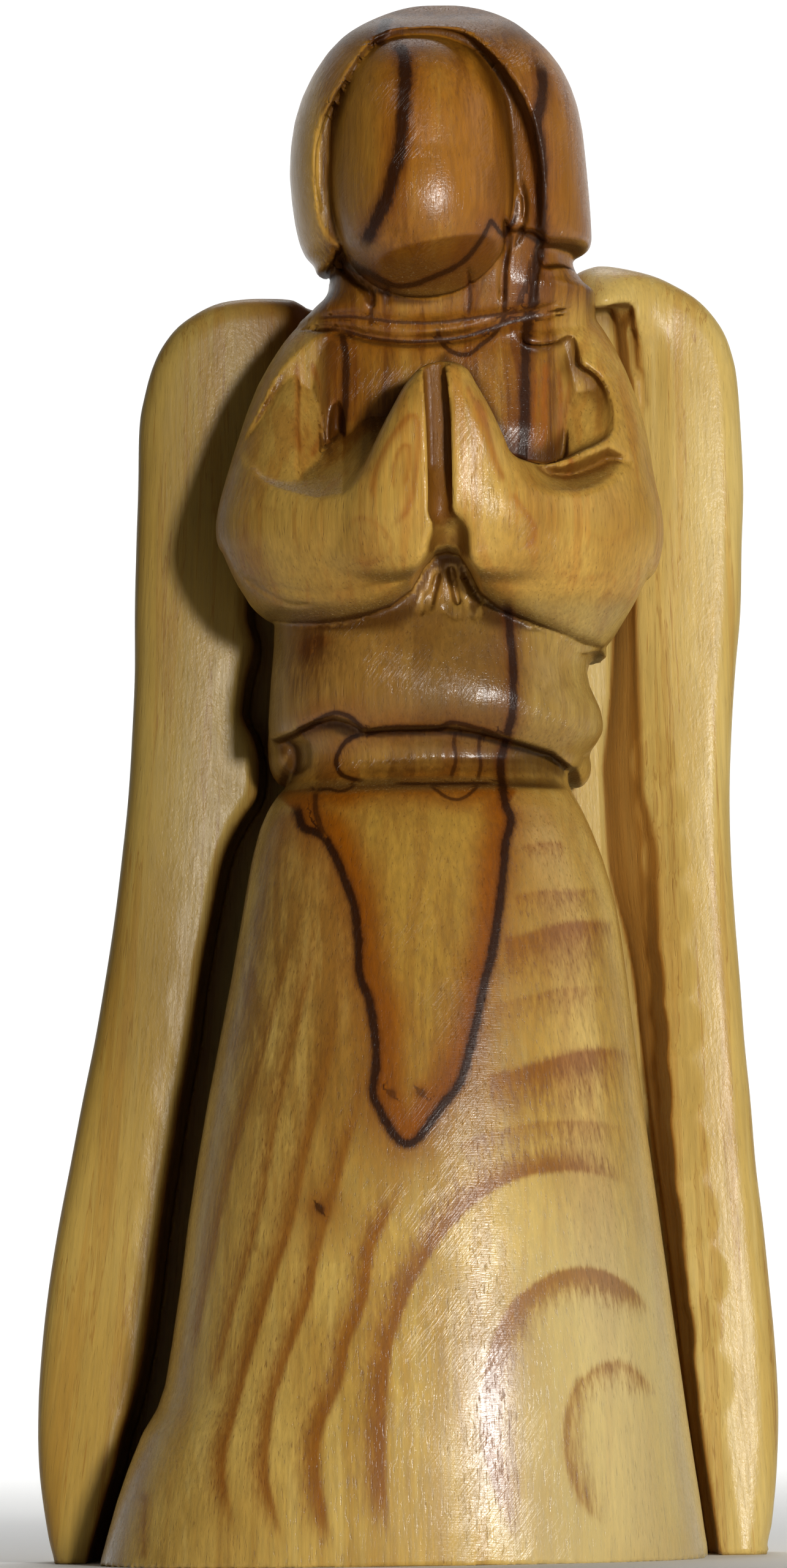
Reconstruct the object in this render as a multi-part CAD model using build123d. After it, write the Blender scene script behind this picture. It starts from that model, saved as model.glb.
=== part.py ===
from build123d import *
import math
import os

# Hand-carved wooden statue of a veiled, praying figure standing in front of two tall side panels.
# Frame: millimetres, +Z up, the front faces -Y, origin at the centre of the base on the ground.
# "Depth" below is the distance in front of the statue's back plane.

os.makedirs("parts", exist_ok=True)

# ---------------------------------------------------------------- driving dimensions
TOTAL_H = 119.5          # height, ground to crown of the veil
TOTAL_D = 38.0           # depth, back of the panels to the front of the skirt hem
BACK_Y = TOTAL_D / 2     # y of the back plane
X_SHIFT = -0.11          # centres the outline on the origin
FLOOR_D = 6.0            # thickness of the panels behind the figure (its seat)
BAND_D_TOP = 8.0         # panel thickness of the raised outer band at the shoulders
BAND_D_BASE = 14.6       # panel thickness of the raised outer band on the ground
PANEL_TOP = 97.0
SEAM_X0, SEAM_X1 = 0.0, 3.9   # centre seam between the panels, ground and shoulder height
DOWEL_D = 3.0
DOWEL_IN_PANEL = 4.0
DOWEL_IN_FIGURE = 10.0
DOWEL_Z = (22.0, 82.0)
DOWEL_X = ((-7.0, 9.0), (-4.5, 12.0))   # (left panel, right panel) at each height
CHIN_Z = 100.8           # flat ledge under the blank face
FACE_R = (7.3, 9.0, 8.9) # face ovoid, half sizes in x, y, z
GROOVE_W = 2.0           # slot between the pressed palms


def y_of(depth):
    return BACK_Y - depth


# ---------------------------------------------------------------- outlines (x, z)
LEFT_OUTER = [(-6.6, 96.4), (-8.2, 96.9), (-11.2, 96.9), (-13.6, 96.3), (-16.0, 94.9), (-18.4, 91.5),
              (-19.5, 87.0), (-19.8, 77.5), (-20.2, 68.1), (-20.8, 58.7), (-22.0, 49.3), (-23.6, 39.9),
              (-25.6, 30.4), (-27.3, 21.0), (-28.2, 13.0), (-28.3, 7.0), (-27.7, 2.5), (-27.1, 0.0)]
RIGHT_OUTER = [(14.4, 98.4), (16.6, 98.9), (19.9, 98.2), (22.2, 97.1), (24.3, 95.3), (25.8, 92.8),
               (26.5, 89.5), (26.85, 84.0), (26.8, 78.0), (26.3, 70.0), (25.8, 62.8), (25.65, 55.0),
               (25.9, 47.0), (26.5, 37.5), (27.2, 29.0), (27.9, 21.5), (28.4, 15.5), (28.53, 10.0),
               (28.3, 6.0), (27.8, 2.0), (27.5, 0.0)]
# inner edge of the raised outer band: outside it the panel is thick, inside it is the figure's seat
LEFT_INNER = [(-6.9, 98.0), (-8.0, 91.5), (-9.6, 86.8), (-10.4, 82.1), (-11.0, 76.0), (-11.2, 70.0),
              (-11.3, 64.5), (-11.4, 60.0), (-12.2, 56.4), (-14.2, 49.2), (-15.9, 39.8), (-17.5, 30.3),
              (-18.9, 20.9), (-20.2, 13.2), (-22.1, 6.8), (-24.3, 0.0)]
RIGHT_INNER = [(17.6, 100.0), (18.4, 95.0), (19.1, 90.0), (19.2, 84.0), (18.7, 77.0), (18.4, 70.0),
               (18.5, 60.0), (19.1, 54.0), (19.3, 46.0), (19.8, 37.0), (20.3, 28.0), (21.1, 20.0),
               (22.0, 11.0), (22.8, 4.5), (23.6, 0.0)]


def seam_x(z):
    return SEAM_X0 + (SEAM_X1 - SEAM_X0) * z / PANEL_TOP


def spline_xz(points):
    return Edge.make_spline([Vector(x, 0, z) for x, z in points])


def line_xz(a, b):
    return Edge.make_line(Vector(a[0], 0, a[1]), Vector(b[0], 0, b[1]))


def prism_y(edges, y0, y1):
    """Solid between two y planes with the given closed xz outline."""
    face = Face(Wire(edges))
    solid = Solid.extrude(face, Vector(0, y1 - y0, 0))
    return solid.moved(Location((0, y0, 0)))


def inset(points, r, sign):
    """The outer edge moved inwards by r, still ending on the ground and at the neck."""
    out = []
    for i, (x, z) in enumerate(points):
        if i == 0:
            out.append((x, z - r))
        elif i == len(points) - 1:
            out.append((x - sign * r, 0.0))
        else:
            tx = points[i + 1][0] - points[i - 1][0]
            tz = points[i + 1][1] - points[i - 1][1]
            n = math.hypot(tx, tz)
            # inward normal of a curve that runs from the neck outwards and down
            out.append((x + sign * r * tz / n, z - sign * r * tx / n))
    return out


def panel(outer, inner, name):
    """One side panel: thick outer band with a slanted front and rounded edges, thin floor behind."""
    sign = -1 if name == "left_wing" else 1
    def back_y(offset):
        return lambda z: BACK_Y - offset
    def front_y(offset):
        return lambda z: y_of(BAND_D_BASE + (BAND_D_TOP - BAND_D_BASE) * z / PANEL_TOP) + offset
    stations = [(2.3, back_y(0.0)), (0.75, back_y(0.7)), (0.0, back_y(2.4)),
                (0.0, front_y(2.2)), (0.65, front_y(0.65)), (2.1, front_y(0.0))]
    wires = []
    for r, y in stations:
        pts = inset(outer, r, sign)
        seam_top = (seam_x(outer[0][1] - 3.5), outer[0][1] - 3.5)
        v = [Vector(px, y(pz), pz) for px, pz in pts]
        s0 = Vector(SEAM_X0, y(0.0), 0.0)
        s1 = Vector(seam_top[0], y(seam_top[1]), seam_top[1])
        wires.append(Wire([Edge.make_spline(v), Edge.make_line(v[-1], s0),
                           Edge.make_line(s0, s1), Edge.make_line(s1, v[0])]))
    body = Solid.make_loft(wires, ruled=True)
    # the seat behind the figure
    far = (sign * -12.0, inner[0][1])
    near = (sign * -12.0, inner[-1][1])
    cut = prism_y([spline_xz(inner), line_xz(inner[-1], near), line_xz(near, far),
                   line_xz(far, inner[0])], y_of(BAND_D_BASE + 4), y_of(FLOOR_D))
    body = body - cut
    # shallow V along the back of the centre seam
    v = Wire([Edge.make_line(Vector(-1.6, BACK_Y + 0.01, 0), Vector(1.6, BACK_Y + 0.01, 0)),
              Edge.make_line(Vector(1.6, BACK_Y + 0.01, 0), Vector(0, BACK_Y - 1.3, 0)),
              Edge.make_line(Vector(0, BACK_Y - 1.3, 0), Vector(-1.6, BACK_Y + 0.01, 0))])
    v = Solid.extrude(Face(v), Vector(SEAM_X1 * 1.1, 0, PANEL_TOP * 1.1))
    body = body - v
    return body


def ring(z, xl, xr, front, seat_l, seat_r, wide=17.0, square=0.62):
    """Horizontal section: flat back on the seat, widest at depth `wide`, rounded front."""
    xc = (xl + xr) / 2
    w = (xr - xl) / 2
    ym = y_of(wide)
    ys = y_of(FLOOR_D)
    yf = y_of(front)
    run = front - wide
    pts = [Vector(seat_l, ys, z),
           Vector(xl + 0.10 * w, y_of(wide - 0.55 * (wide - FLOOR_D)), z),
           Vector(xl, ym, z),
           Vector(xl + 0.16 * w, y_of(wide + 0.60 * run), z),
           Vector(xc - square * 0.62 * w, y_of(wide + 0.90 * run), z),
           Vector(xc, yf, z),
           Vector(xc + square * 0.62 * w, y_of(wide + 0.90 * run), z),
           Vector(xr - 0.16 * w, y_of(wide + 0.60 * run), z),
           Vector(xr, ym, z),
           Vector(xr - 0.10 * w, y_of(wide - 0.55 * (wide - FLOOR_D)), z),
           Vector(seat_r, ys, z)]
    return Face(Wire([Edge.make_spline(pts), Edge.make_line(pts[-1], pts[0])]))


def oval(z, xl, xr, back, front):
    xc = (xl + xr) / 2
    yc = (y_of(back) + y_of(front)) / 2
    return Face(Wire.make_ellipse((xr - xl) / 2, (front - back) / 2,
                                  Plane(origin=(xc, yc, z), x_dir=(1, 0, 0), z_dir=(0, 0, 1))))


def ellipsoid(centre, radii):
    x, d, z = centre
    return scale(Sphere(1.0), by=radii).moved(Location((x, y_of(d), z)))


# ---------------------------------------------------------------- figure
skirt = loft([ring(0.0, -23.5, 22.7, 38.0, -21.5, 20.8, 19.5),
              ring(6.0, -21.5, 21.9, 37.7, -19.6, 20.0, 19.5),
              ring(12.0, -19.3, 21.2, 37.0, -17.6, 19.3, 19.0),
              ring(24.0, -16.9, 19.8, 35.2, -15.2, 17.9, 18.5),
              ring(36.0, -14.8, 18.4, 32.8, -13.2, 16.7, 18.0),
              ring(48.0, -12.4, 16.9, 29.8, -10.9, 15.3, 17.0),
              ring(56.0, -10.5, 14.8, 27.4, -9.2, 13.4, 16.0),
              ring(60.0, -9.0, 13.2, 25.6, -7.8, 11.8, 15.0)])
belt = loft([ring(58.5, -8.0, 13.0, 23.4, -7.0, 12.0, 15.0),
             ring(67.0, -8.0, 13.6, 23.4, -7.0, 12.4, 15.0)])
waist = loft([ring(62.6, -9.5, 14.6, 25.4, -8.3, 13.2, 15.0),
              ring(65.5, -9.8, 15.8, 26.4, -8.5, 14.2, 15.0),
              ring(70.0, -9.3, 15.0, 26.0, -8.1, 13.6, 15.0),
              ring(76.0, -9.3, 15.6, 25.0, -8.1, 14.0, 15.0)])
arms = loft([ring(71.4, -9.4, 16.6, 26.5, -7.0, 14.0, 16.5),
             ring(73.6, -12.0, 18.9, 29.5, -8.0, 15.0, 17.0),
             ring(79.5, -13.6, 20.3, 30.6, -8.6, 15.8, 17.0),
             ring(85.0, -12.3, 19.8, 28.6, -8.2, 16.0, 16.5),
             ring(90.0, -10.4, 18.3, 25.6, -7.2, 15.6, 16.0),
             ring(94.0, -8.0, 16.4, 22.6, -6.0, 14.4, 15.0),
             ring(96.6, -5.8, 14.6, 20.4, -4.6, 12.8, 13.0)])
neck = loft([oval(93.0, -5.6, 14.2, 3.0, 22.4),
             oval(98.0, -4.6, 14.0, 4.4, 21.8),
             oval(103.0, -4.8, 14.2, 4.4, 22.2)])
hood = loft([oval(99.3, -6.0, 14.9, 5.5, 26.0),
             oval(102.0, -7.4, 15.4, 4.0, 28.4),
             oval(106.5, -7.7, 15.3, 3.0, 29.8),
             oval(110.5, -7.1, 14.7, 3.0, 30.2),
             oval(114.0, -5.4, 13.0, 4.2, 29.2),
             oval(116.8, -3.0, 11.0, 6.6, 27.4),
             oval(118.6, 0.0, 8.6, 10.0, 24.0),
             oval(TOTAL_H, 2.6, 5.6, 14.0, 19.0)])
hood = hood - ellipsoid((2.6, 32.5, 107.8), (8.6, 9.5, 10.6))
hood = hood - Pos(2.4, y_of(30), 97.5) * Box(10.0, 15.4, 8)
face = ellipsoid((2.5, 21.0, 108.8), FACE_R) - Pos(2.5, y_of(20), CHIN_Z - 5) * Box(30, 30, 10)

hands = ellipsoid((3.4, 22.0, 82.0), (5.0, 11.2, 10.2))
elbow_l = ellipsoid((-6.2, 19.5, 77.8), (6.6, 9.6, 5.4))
elbow_r = ellipsoid((13.0, 19.5, 77.2), (6.9, 9.6, 5.8))

figure = skirt + belt + waist + arms
figure = figure - ellipsoid((-6.4, 30.5, 87.6), (4.3, 11.0, 6.3))   # hollow inside the left arm
figure = figure - ellipsoid((13.3, 30.5, 87.4), (4.7, 11.0, 6.5))   # hollow inside the right arm
figure = figure + hands + elbow_l + elbow_r
figure = figure + neck + hood + face
# slot between the palms, and the small hollow under the wrists
figure = figure - Pos(3.5, y_of(34.6), 86.0) * Box(GROOVE_W, 6.0, 13.0)
figure = figure - ellipsoid((4.0, 33.0, 76.2), (3.0, 5.0, 3.4))
# trim everything to the ground and to the seat plane below the shoulders
ground = Pos(0, 0, -20) * Box(200, 200, 40)
behind = Pos(0, BACK_Y - FLOOR_D + 20, 48.25) * Box(200, 40, 100.3)
figure = figure - ground - behind

# ---------------------------------------------------------------- panels
left_wing = panel(LEFT_OUTER, LEFT_INNER, "left_wing")
right_wing = panel(RIGHT_OUTER, RIGHT_INNER, "right_wing")
# the veil's back stands clear of the panels' top edge
left_wing = left_wing - figure
right_wing = right_wing - figure

# ---------------------------------------------------------------- hidden dowels
left_dowels, right_dowels = [], []
for z, (xl, xr) in zip(DOWEL_Z, DOWEL_X):
    for x, group in ((xl, left_dowels), (xr, right_dowels)):
        length = DOWEL_IN_PANEL + DOWEL_IN_FIGURE
        pin = Cylinder(DOWEL_D / 2, length, rotation=(90, 0, 0))
        y_mid = y_of(FLOOR_D - DOWEL_IN_PANEL + length / 2)
        group.append(Pos(x, y_mid, z) * pin)
for pin in left_dowels:
    figure = figure - pin
    left_wing = left_wing - pin
for pin in right_dowels:
    figure = figure - pin
    right_wing = right_wing - pin

nodes = {
    "figure": figure,
    "left_wing": left_wing,
    "right_wing": right_wing,
    "left_wing_dowels": Compound(children=left_dowels),
    "right_wing_dowels": Compound(children=right_dowels),
}
for name, shape in nodes.items():
    export_step(Compound([s for s in shape.solids()]).moved(Location((X_SHIFT, 0, 0))), f"parts/{name}.step")
    box = shape.bounding_box()
    print(name, len(shape.solids()), round(shape.volume, 1), box.min, box.max)
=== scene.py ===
import bpy
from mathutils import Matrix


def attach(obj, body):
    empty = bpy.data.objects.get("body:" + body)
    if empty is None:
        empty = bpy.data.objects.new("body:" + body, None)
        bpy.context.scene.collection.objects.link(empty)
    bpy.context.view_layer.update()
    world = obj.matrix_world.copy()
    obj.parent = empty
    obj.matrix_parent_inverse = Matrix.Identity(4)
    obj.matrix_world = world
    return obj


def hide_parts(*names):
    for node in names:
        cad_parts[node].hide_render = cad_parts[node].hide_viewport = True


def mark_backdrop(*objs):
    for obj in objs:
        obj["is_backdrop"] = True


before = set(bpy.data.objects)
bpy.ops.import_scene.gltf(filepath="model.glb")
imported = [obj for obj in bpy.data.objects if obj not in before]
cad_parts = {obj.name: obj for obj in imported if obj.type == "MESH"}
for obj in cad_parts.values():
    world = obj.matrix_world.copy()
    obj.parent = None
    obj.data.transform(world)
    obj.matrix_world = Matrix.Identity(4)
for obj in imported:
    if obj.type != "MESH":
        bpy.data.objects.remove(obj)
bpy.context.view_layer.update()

import bpy
import math
import time
import numpy as np
from mathutils import Vector, Matrix

T0 = time.time()

# =====================================================================================
# The statue is carved here as an implicit solid, in millimetres. x is to the viewer's
# right, z is up and d is the distance in front of the back plane (y = 19 - d).
# =====================================================================================
DEPTH0 = 19.0
ZT = np.arange(-4.0, 126.0, 0.1)
GX0, GZ0, GS = -33.0, -4.0, 0.1
NX, NZ = 661, 1291


def gauss1(v, s):
    if s <= 0:
        return v
    r = int(3 * s / 0.1) + 1
    k = np.exp(-0.5 * (np.arange(-r, r + 1) * 0.1 / s) ** 2)
    k /= k.sum()
    return np.convolve(np.pad(v, r, mode="edge"), k, mode="valid")


class Tab:
    """A value along z: linear between the given points, then softened over s millimetres."""

    def __init__(self, zs, vs, s=0.5):
        zs, vs = np.array(zs, float), np.array(vs, float)
        o = np.argsort(zs)
        self.v = gauss1(np.interp(ZT, zs[o], vs[o]), s)

    def __call__(self, z):
        return np.interp(z, ZT, self.v)


def side(points, s=0.5):
    """Table of x along z from (x, z) points."""
    return Tab([p[1] for p in points], [p[0] for p in points], s)


def prof(points, s=0.5):
    """Table of a value along z from (z, value) points."""
    return Tab([p[0] for p in points], [p[1] for p in points], s)


def smin(a, b, k):
    h = np.clip(0.5 + 0.5 * (b - a) / k, 0, 1)
    return b + (a - b) * h - k * h * (1 - h)


def smax(a, b, k):
    return -smin(-a, -b, k)


def sstep(a, b, v):
    t = np.clip((v - a) / (b - a), 0, 1)
    return t * t * (3 - 2 * t)


def loft(x, d, z, xl, xr, dw, df, db, nf=2.2, nb=2.2):
    """Body with superellipse sections: widest at depth dw, front at df, back at db."""
    a, b = xl(z), xr(z)
    w, c = np.maximum((b - a) / 2, 0.3), (a + b) / 2
    W = dw(z)
    u = np.abs(x - c) / w + 1e-6
    front = d > W
    span = np.where(front, df(z) - W, W - db(z))
    span = np.maximum(span, 0.3)
    v = np.where(front, d - W, W - d) / span + 1e-6
    n = np.where(front, nf, nb)
    un, vn = u ** n, v ** n
    s = un + vn
    r = s ** (1 / n)
    k = r / s
    gu, gv = un / u * k / w, vn / v * k / span
    g = np.sqrt(gu * gu + gv * gv)
    return np.clip((r - 1) / np.maximum(g, 0.02), -8, 8)


def ell(x, d, z, c, r):
    px, pd, pz = (x - c[0]) / r[0], (d - c[1]) / r[1], (z - c[2]) / r[2]
    k0 = np.sqrt(px * px + pd * pd + pz * pz) + 1e-6
    k1 = np.sqrt((px / r[0]) ** 2 + (pd / r[1]) ** 2 + (pz / r[2]) ** 2) + 1e-6
    return k0 * (k0 - 1) / k1


def caps(x, d, z, a, b, ra, rb):
    a, b = np.array(a, float), np.array(b, float)
    ab = b - a
    t = np.clip(((x - a[0]) * ab[0] + (d - a[1]) * ab[1] + (z - a[2]) * ab[2]) / (ab @ ab), 0, 1)
    q = np.sqrt((x - a[0] - ab[0] * t) ** 2 + (d - a[1] - ab[1] * t) ** 2 + (z - a[2] - ab[2] * t) ** 2)
    return q - (ra + (rb - ra) * t)


def smooth_line(points, closed, step=0.35):
    """Catmull-Rom through the points, resampled."""
    p = np.array(points, float)
    n = len(p)
    out = []
    for i in range(n if closed else n - 1):
        if closed:
            a, b, c, e = p[(i - 1) % n], p[i], p[(i + 1) % n], p[(i + 2) % n]
        else:
            a, b, c, e = p[max(i - 1, 0)], p[i], p[i + 1], p[min(i + 2, n - 1)]
        m = max(2, int(np.linalg.norm(c - b) / step))
        t = np.linspace(0, 1, m, endpoint=False)[:, None]
        out.append(0.5 * ((2 * b) + (c - a) * t + (2 * a - 5 * b + 4 * c - e) * t ** 2 + (3 * b - a - 3 * c + e) * t ** 3))
    out = np.vstack(out)
    if not closed:
        out = np.vstack([out, p[-1]])
    return out


def window(q, margin):
    i0 = max(int((q[:, 0].min() - margin - GX0) / GS), 0)
    i1 = min(int((q[:, 0].max() + margin - GX0) / GS) + 2, NX)
    j0 = max(int((q[:, 1].min() - margin - GZ0) / GS), 0)
    j1 = min(int((q[:, 1].max() + margin - GZ0) / GS) + 2, NZ)
    return i0, i1, j0, j1


def area_map(points, margin=5.0, smooth=True):
    """Signed distance in the xz plane to a closed outline, negative inside."""
    q = smooth_line(points, True) if smooth else np.array(points, float)
    i0, i1, j0, j1 = window(q, margin)
    X, Z = np.meshgrid(GX0 + GS * np.arange(i0, i1), GZ0 + GS * np.arange(j0, j1), indexing="ij")
    dist = np.full(X.shape, 1e9)
    inside = np.zeros(X.shape, bool)
    nxt = np.roll(q, -1, axis=0)
    for (ax, az), (bx, bz) in zip(q, nxt):
        vx, vz = bx - ax, bz - az
        L = vx * vx + vz * vz
        if L < 1e-12:
            continue
        t = np.clip(((X - ax) * vx + (Z - az) * vz) / L, 0, 1)
        dist = np.minimum(dist, (X - ax - t * vx) ** 2 + (Z - az - t * vz) ** 2)
        if (az > bz) != (az < bz) or az != bz:
            cond = (az > Z) != (bz > Z)
            with np.errstate(divide="ignore", invalid="ignore"):
                xi = ax + (Z - az) * vx / (vz if abs(vz) > 1e-12 else 1e-12)
            inside ^= cond & (X < xi)
    sd = np.sqrt(dist)
    sd[inside] *= -1
    out = np.full((NX, NZ), margin + 1.0, np.float32)
    out[i0:i1, j0:j1] = sd
    return out


def line_map(points, margin=4.0):
    """Distance to an open line and the share of the way along it."""
    q = smooth_line(points, False)
    i0, i1, j0, j1 = window(q, margin)
    X, Z = np.meshgrid(GX0 + GS * np.arange(i0, i1), GZ0 + GS * np.arange(j0, j1), indexing="ij")
    dist = np.full(X.shape, 1e9)
    along = np.zeros(X.shape)
    seg = np.linalg.norm(np.diff(q, axis=0), axis=1)
    cum = np.concatenate([[0], np.cumsum(seg)])
    total = cum[-1]
    for k in range(len(q) - 1):
        ax, az = q[k]
        vx, vz = q[k + 1] - q[k]
        L = vx * vx + vz * vz
        if L < 1e-12:
            continue
        t = np.clip(((X - ax) * vx + (Z - az) * vz) / L, 0, 1)
        dd = (X - ax - t * vx) ** 2 + (Z - az - t * vz) ** 2
        m = dd < dist
        dist[m] = dd[m]
        along[m] = ((cum[k] + t * seg[k]) / total)[m]
    out = np.full((NX, NZ), margin + 1.0, np.float32)
    par = np.zeros((NX, NZ), np.float32)
    out[i0:i1, j0:j1] = np.sqrt(dist)
    par[i0:i1, j0:j1] = along
    return out, par


def samp(m, x, z):
    fx = np.clip((x - GX0) / GS, 0, NX - 1.001)
    fz = np.clip((z - GZ0) / GS, 0, NZ - 1.001)
    i, j = fx.astype(np.int32), fz.astype(np.int32)
    a, b = fx - i, fz - j
    m00, m10, m01, m11 = m[i, j], m[i + 1, j], m[i, j + 1], m[i + 1, j + 1]
    return (m00 * (1 - a) + m10 * a) * (1 - b) + (m01 * (1 - a) + m11 * a) * b


MX, MZ = np.meshgrid(GX0 + GS * np.arange(NX), GZ0 + GS * np.arange(NZ), indexing="ij")


def crease(dm, points, width, depth, taper=True, shape="v"):
    """Cuts a knife line into a relief map."""
    dist, par = line_map(points, margin=max(2.0, width * 3))
    w = width * (np.clip(np.minimum(par, 1 - par) * 8, 0.15, 1) if taper else 1.0)
    if shape == "v":
        p = np.clip(1 - dist / w, 0, 1)
        p = p * p * (3 - 2 * p)
    else:
        p = np.exp(-(dist / w) ** 2)
    dm += (depth * p).astype(np.float32)


def scoop(dm, points, depth, edge):
    """Lowers an outlined patch into a dish with an edge of the given width."""
    sd = area_map(points, margin=2.5)
    dm += (depth * sstep(0, edge, -sd)).astype(np.float32)


# ------------------------------------------------------------------ tables: skirt, belt, waist
SK_L = side([(-23.72, -0.21), (-23.67, 0.16), (-22.99, 2.57), (-22.31, 4.88), (-21.49, 7.19), (-20.33, 9.97), (-19.19, 11.81), (-18.57, 13.57), (-18.06, 16.45), (-17.31, 21.10), (-16.69, 25.75), (-15.93, 30.40), (-15.08, 35.06), (-14.13, 39.72), (-13.18, 44.38), (-12.33, 49.05), (-11.92, 51.39), (-11.47, 53.73), (-10.83, 56.06), (-10.16, 57.55), (-9.49, 58.53), (-8.97, 59.13), (-8.54, 59.50), (-8.25, 60.15), (-8.15, 60.95), (-8.18, 61.75), (-8.41, 62.50), (-8.77, 63.07), (-9.23, 63.55), (-9.18, 67.77)], 0.25)
SK_R = side([(22.48, 0.08), (22.45, 0.96), (22.28, 1.94), (21.99, 4.27), (21.66, 6.59), (21.28, 9.39), (21.03, 11.25), (20.45, 15.91), (19.87, 20.58), (19.30, 25.25), (18.72, 29.92), (18.13, 34.60), (17.60, 39.28), (17.11, 43.96), (16.53, 48.65), (16.05, 51.00), (15.39, 53.35), (14.53, 55.71), (13.90, 57.12), (13.40, 58.07), (13.08, 58.73), (12.85, 59.20), (12.82, 59.86), (12.88, 60.65), (13.03, 61.45), (13.41, 62.20), (13.89, 62.75), (14.13, 63.22), (14.20, 67.44)], 0.25)
SK_F = prof([(0.08, 38.0), (2.45, 37.95), (7.02, 37.7), (11.60, 37.3), (16.18, 36.7), (20.76, 35.9), (25.35, 35.1), (29.94, 34.2), (34.53, 33.3), (39.13, 32.3), (43.74, 31.2), (48.34, 29.9), (52.95, 28.5), (55.26, 27.7), (57.10, 26.9), (58.03, 26.3), (58.49, 25.7), (58.81, 24.7), (59.32, 23.9), (60.11, 23.2), (60.89, 22.8), (61.63, 22.9), (62.18, 23.2), (62.65, 23.4), (66.81, 23.4)], 0.12)
SK_W = prof([(0, 19.5), (12, 19.0), (24, 18.5), (36, 18.0), (48, 17.0), (58, 15.8), (64, 15.0), (70, 15)], 1.0)
SK_B = prof([(0, 1.0), (70, 1.0)], 0)
AB_L = side([(-9.57, 73.20), (-9.45, 71.78), (-9.51, 70.36), (-9.67, 69.18), (-9.83, 68.01), (-9.94, 66.59), (-10.05, 65.18), (-10.12, 64.00), (-10.08, 63.29), (-10.00, 61.88)], 0.3)
AB_R = side([(16.46, 72.83), (16.33, 70.94), (15.71, 69.91), (15.09, 69.31), (14.65, 68.61), (14.45, 67.76), (14.62, 66.72), (15.03, 65.77), (15.44, 64.82), (15.61, 63.88), (15.56, 63.17), (15.26, 62.47), (14.64, 61.77), (13.92, 61.07)], 0.2)
AB_F = prof([(72.69, 24.8), (70.83, 25.5), (68.97, 26.3), (67.11, 26.9), (65.71, 27.1), (64.55, 27.0), (63.62, 26.7), (62.69, 26.1), (61.06, 25.3)], 0.4)
AB_W = prof([(60, 15.0), (80, 15.0)], 0)
AB_BOTTOM = [(-10.36, 62.80), (-9.20, 62.78), (-8.04, 63.04), (-6.64, 63.68), (-5.01, 64.02), (-3.85, 63.64), (-2.84, 62.93), (-0.62, 62.99), (2.17, 62.99), (3.56, 63.11), (5.18, 62.86), (6.80, 62.51), (9.10, 61.87), (11.41, 61.19), (13.02, 60.24), (13.95, 60.60), (15.38, 62.62), (16.54, 63.17)]
# ------------------------------------------------------------------ arms and chest
AR_L = side([(-4.87, 96.40), (-5.63, 95.93), (-6.77, 95.52), (-7.15, 95.20), (-7.63, 94.82), (-8.58, 93.65), (-9.64, 92.01), (-10.61, 90.23), (-11.48, 88.02), (-12.32, 85.43), (-13.05, 83.08), (-13.50, 80.96), (-13.71, 79.31), (-13.63, 78.12), (-13.45, 77.41), (-12.77, 75.61), (-11.62, 73.38), (-10.84, 72.52), (-9.67, 71.94), (-8.98, 70.75)], 0.3)
AR_R = side([(13.80, 97.74), (14.22, 96.98), (15.00, 95.93), (16.06, 94.49), (16.93, 92.96), (17.75, 91.15), (18.43, 89.25), (19.10, 86.88), (19.49, 84.75), (19.79, 82.61), (19.94, 80.72), (19.96, 79.07), (19.75, 77.18), (19.19, 74.83), (18.56, 73.43), (17.84, 72.26), (16.97, 70.86), (16.39, 69.83), (15.67, 68.75)], 0.3)
AR_F = prof([(68.89, 25.0), (70.75, 26.6), (72.61, 28.2), (74.47, 29.3), (76.33, 29.9), (78.19, 30.0), (80.05, 29.6), (81.91, 28.7), (83.78, 27.6), (85.64, 26.6), (87.50, 25.6), (89.37, 24.6), (91.23, 23.5), (92.87, 22.4), (94.03, 21.4), (94.97, 20.2), (95.90, 18)], 0.6)
AR_W = prof([(68, 16.5), (84, 16.8), (97, 13.5)], 1.0)
AR_BOTTOM = [(-13.41, 76.53), (-12.28, 73.95), (-11.37, 72.54), (-10.23, 71.55), (-8.38, 71.11), (-6.06, 71.08), (-4.21, 71.28), (-2.35, 71.72), (-0.48, 72.39), (1.01, 73.53), (1.96, 75.15), (2.81, 76.16), (3.74, 76.43), (4.67, 76.13), (5.48, 74.87), (6.25, 73.23), (7.62, 72.05), (9.69, 71.09), (11.53, 70.23), (13.37, 69.50), (15.45, 69.05), (16.62, 69.83), (17.81, 71.67), (19.01, 74.21)]
CH_L = side([(-4.87, 97.36), (-5.16, 96.70), (-6.21, 96.06), (-7.35, 95.41), (-7.74, 94.46), (-8.25, 91.63), (-8.43, 77.43), (-9.45, 71.78)], 0.3)
CH_R = side([(13.84, 98.90), (14.11, 97.86), (14.85, 96.80), (15.20, 95.09), (15.56, 91.29), (15.82, 77.09), (15.97, 71.42)], 0.3)
CH_F = prof([(71.15, 24.0), (76.77, 23.4), (81.46, 22.6), (86.15, 22.9), (89.91, 22.1), (91.78, 21.7), (92.96, 21.3), (93.66, 20.9), (94.37, 20.6), (95.31, 20.4), (96.48, 20.4)], 0.3)
CH_W = prof([(68, 14), (97, 13)], 0)
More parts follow.
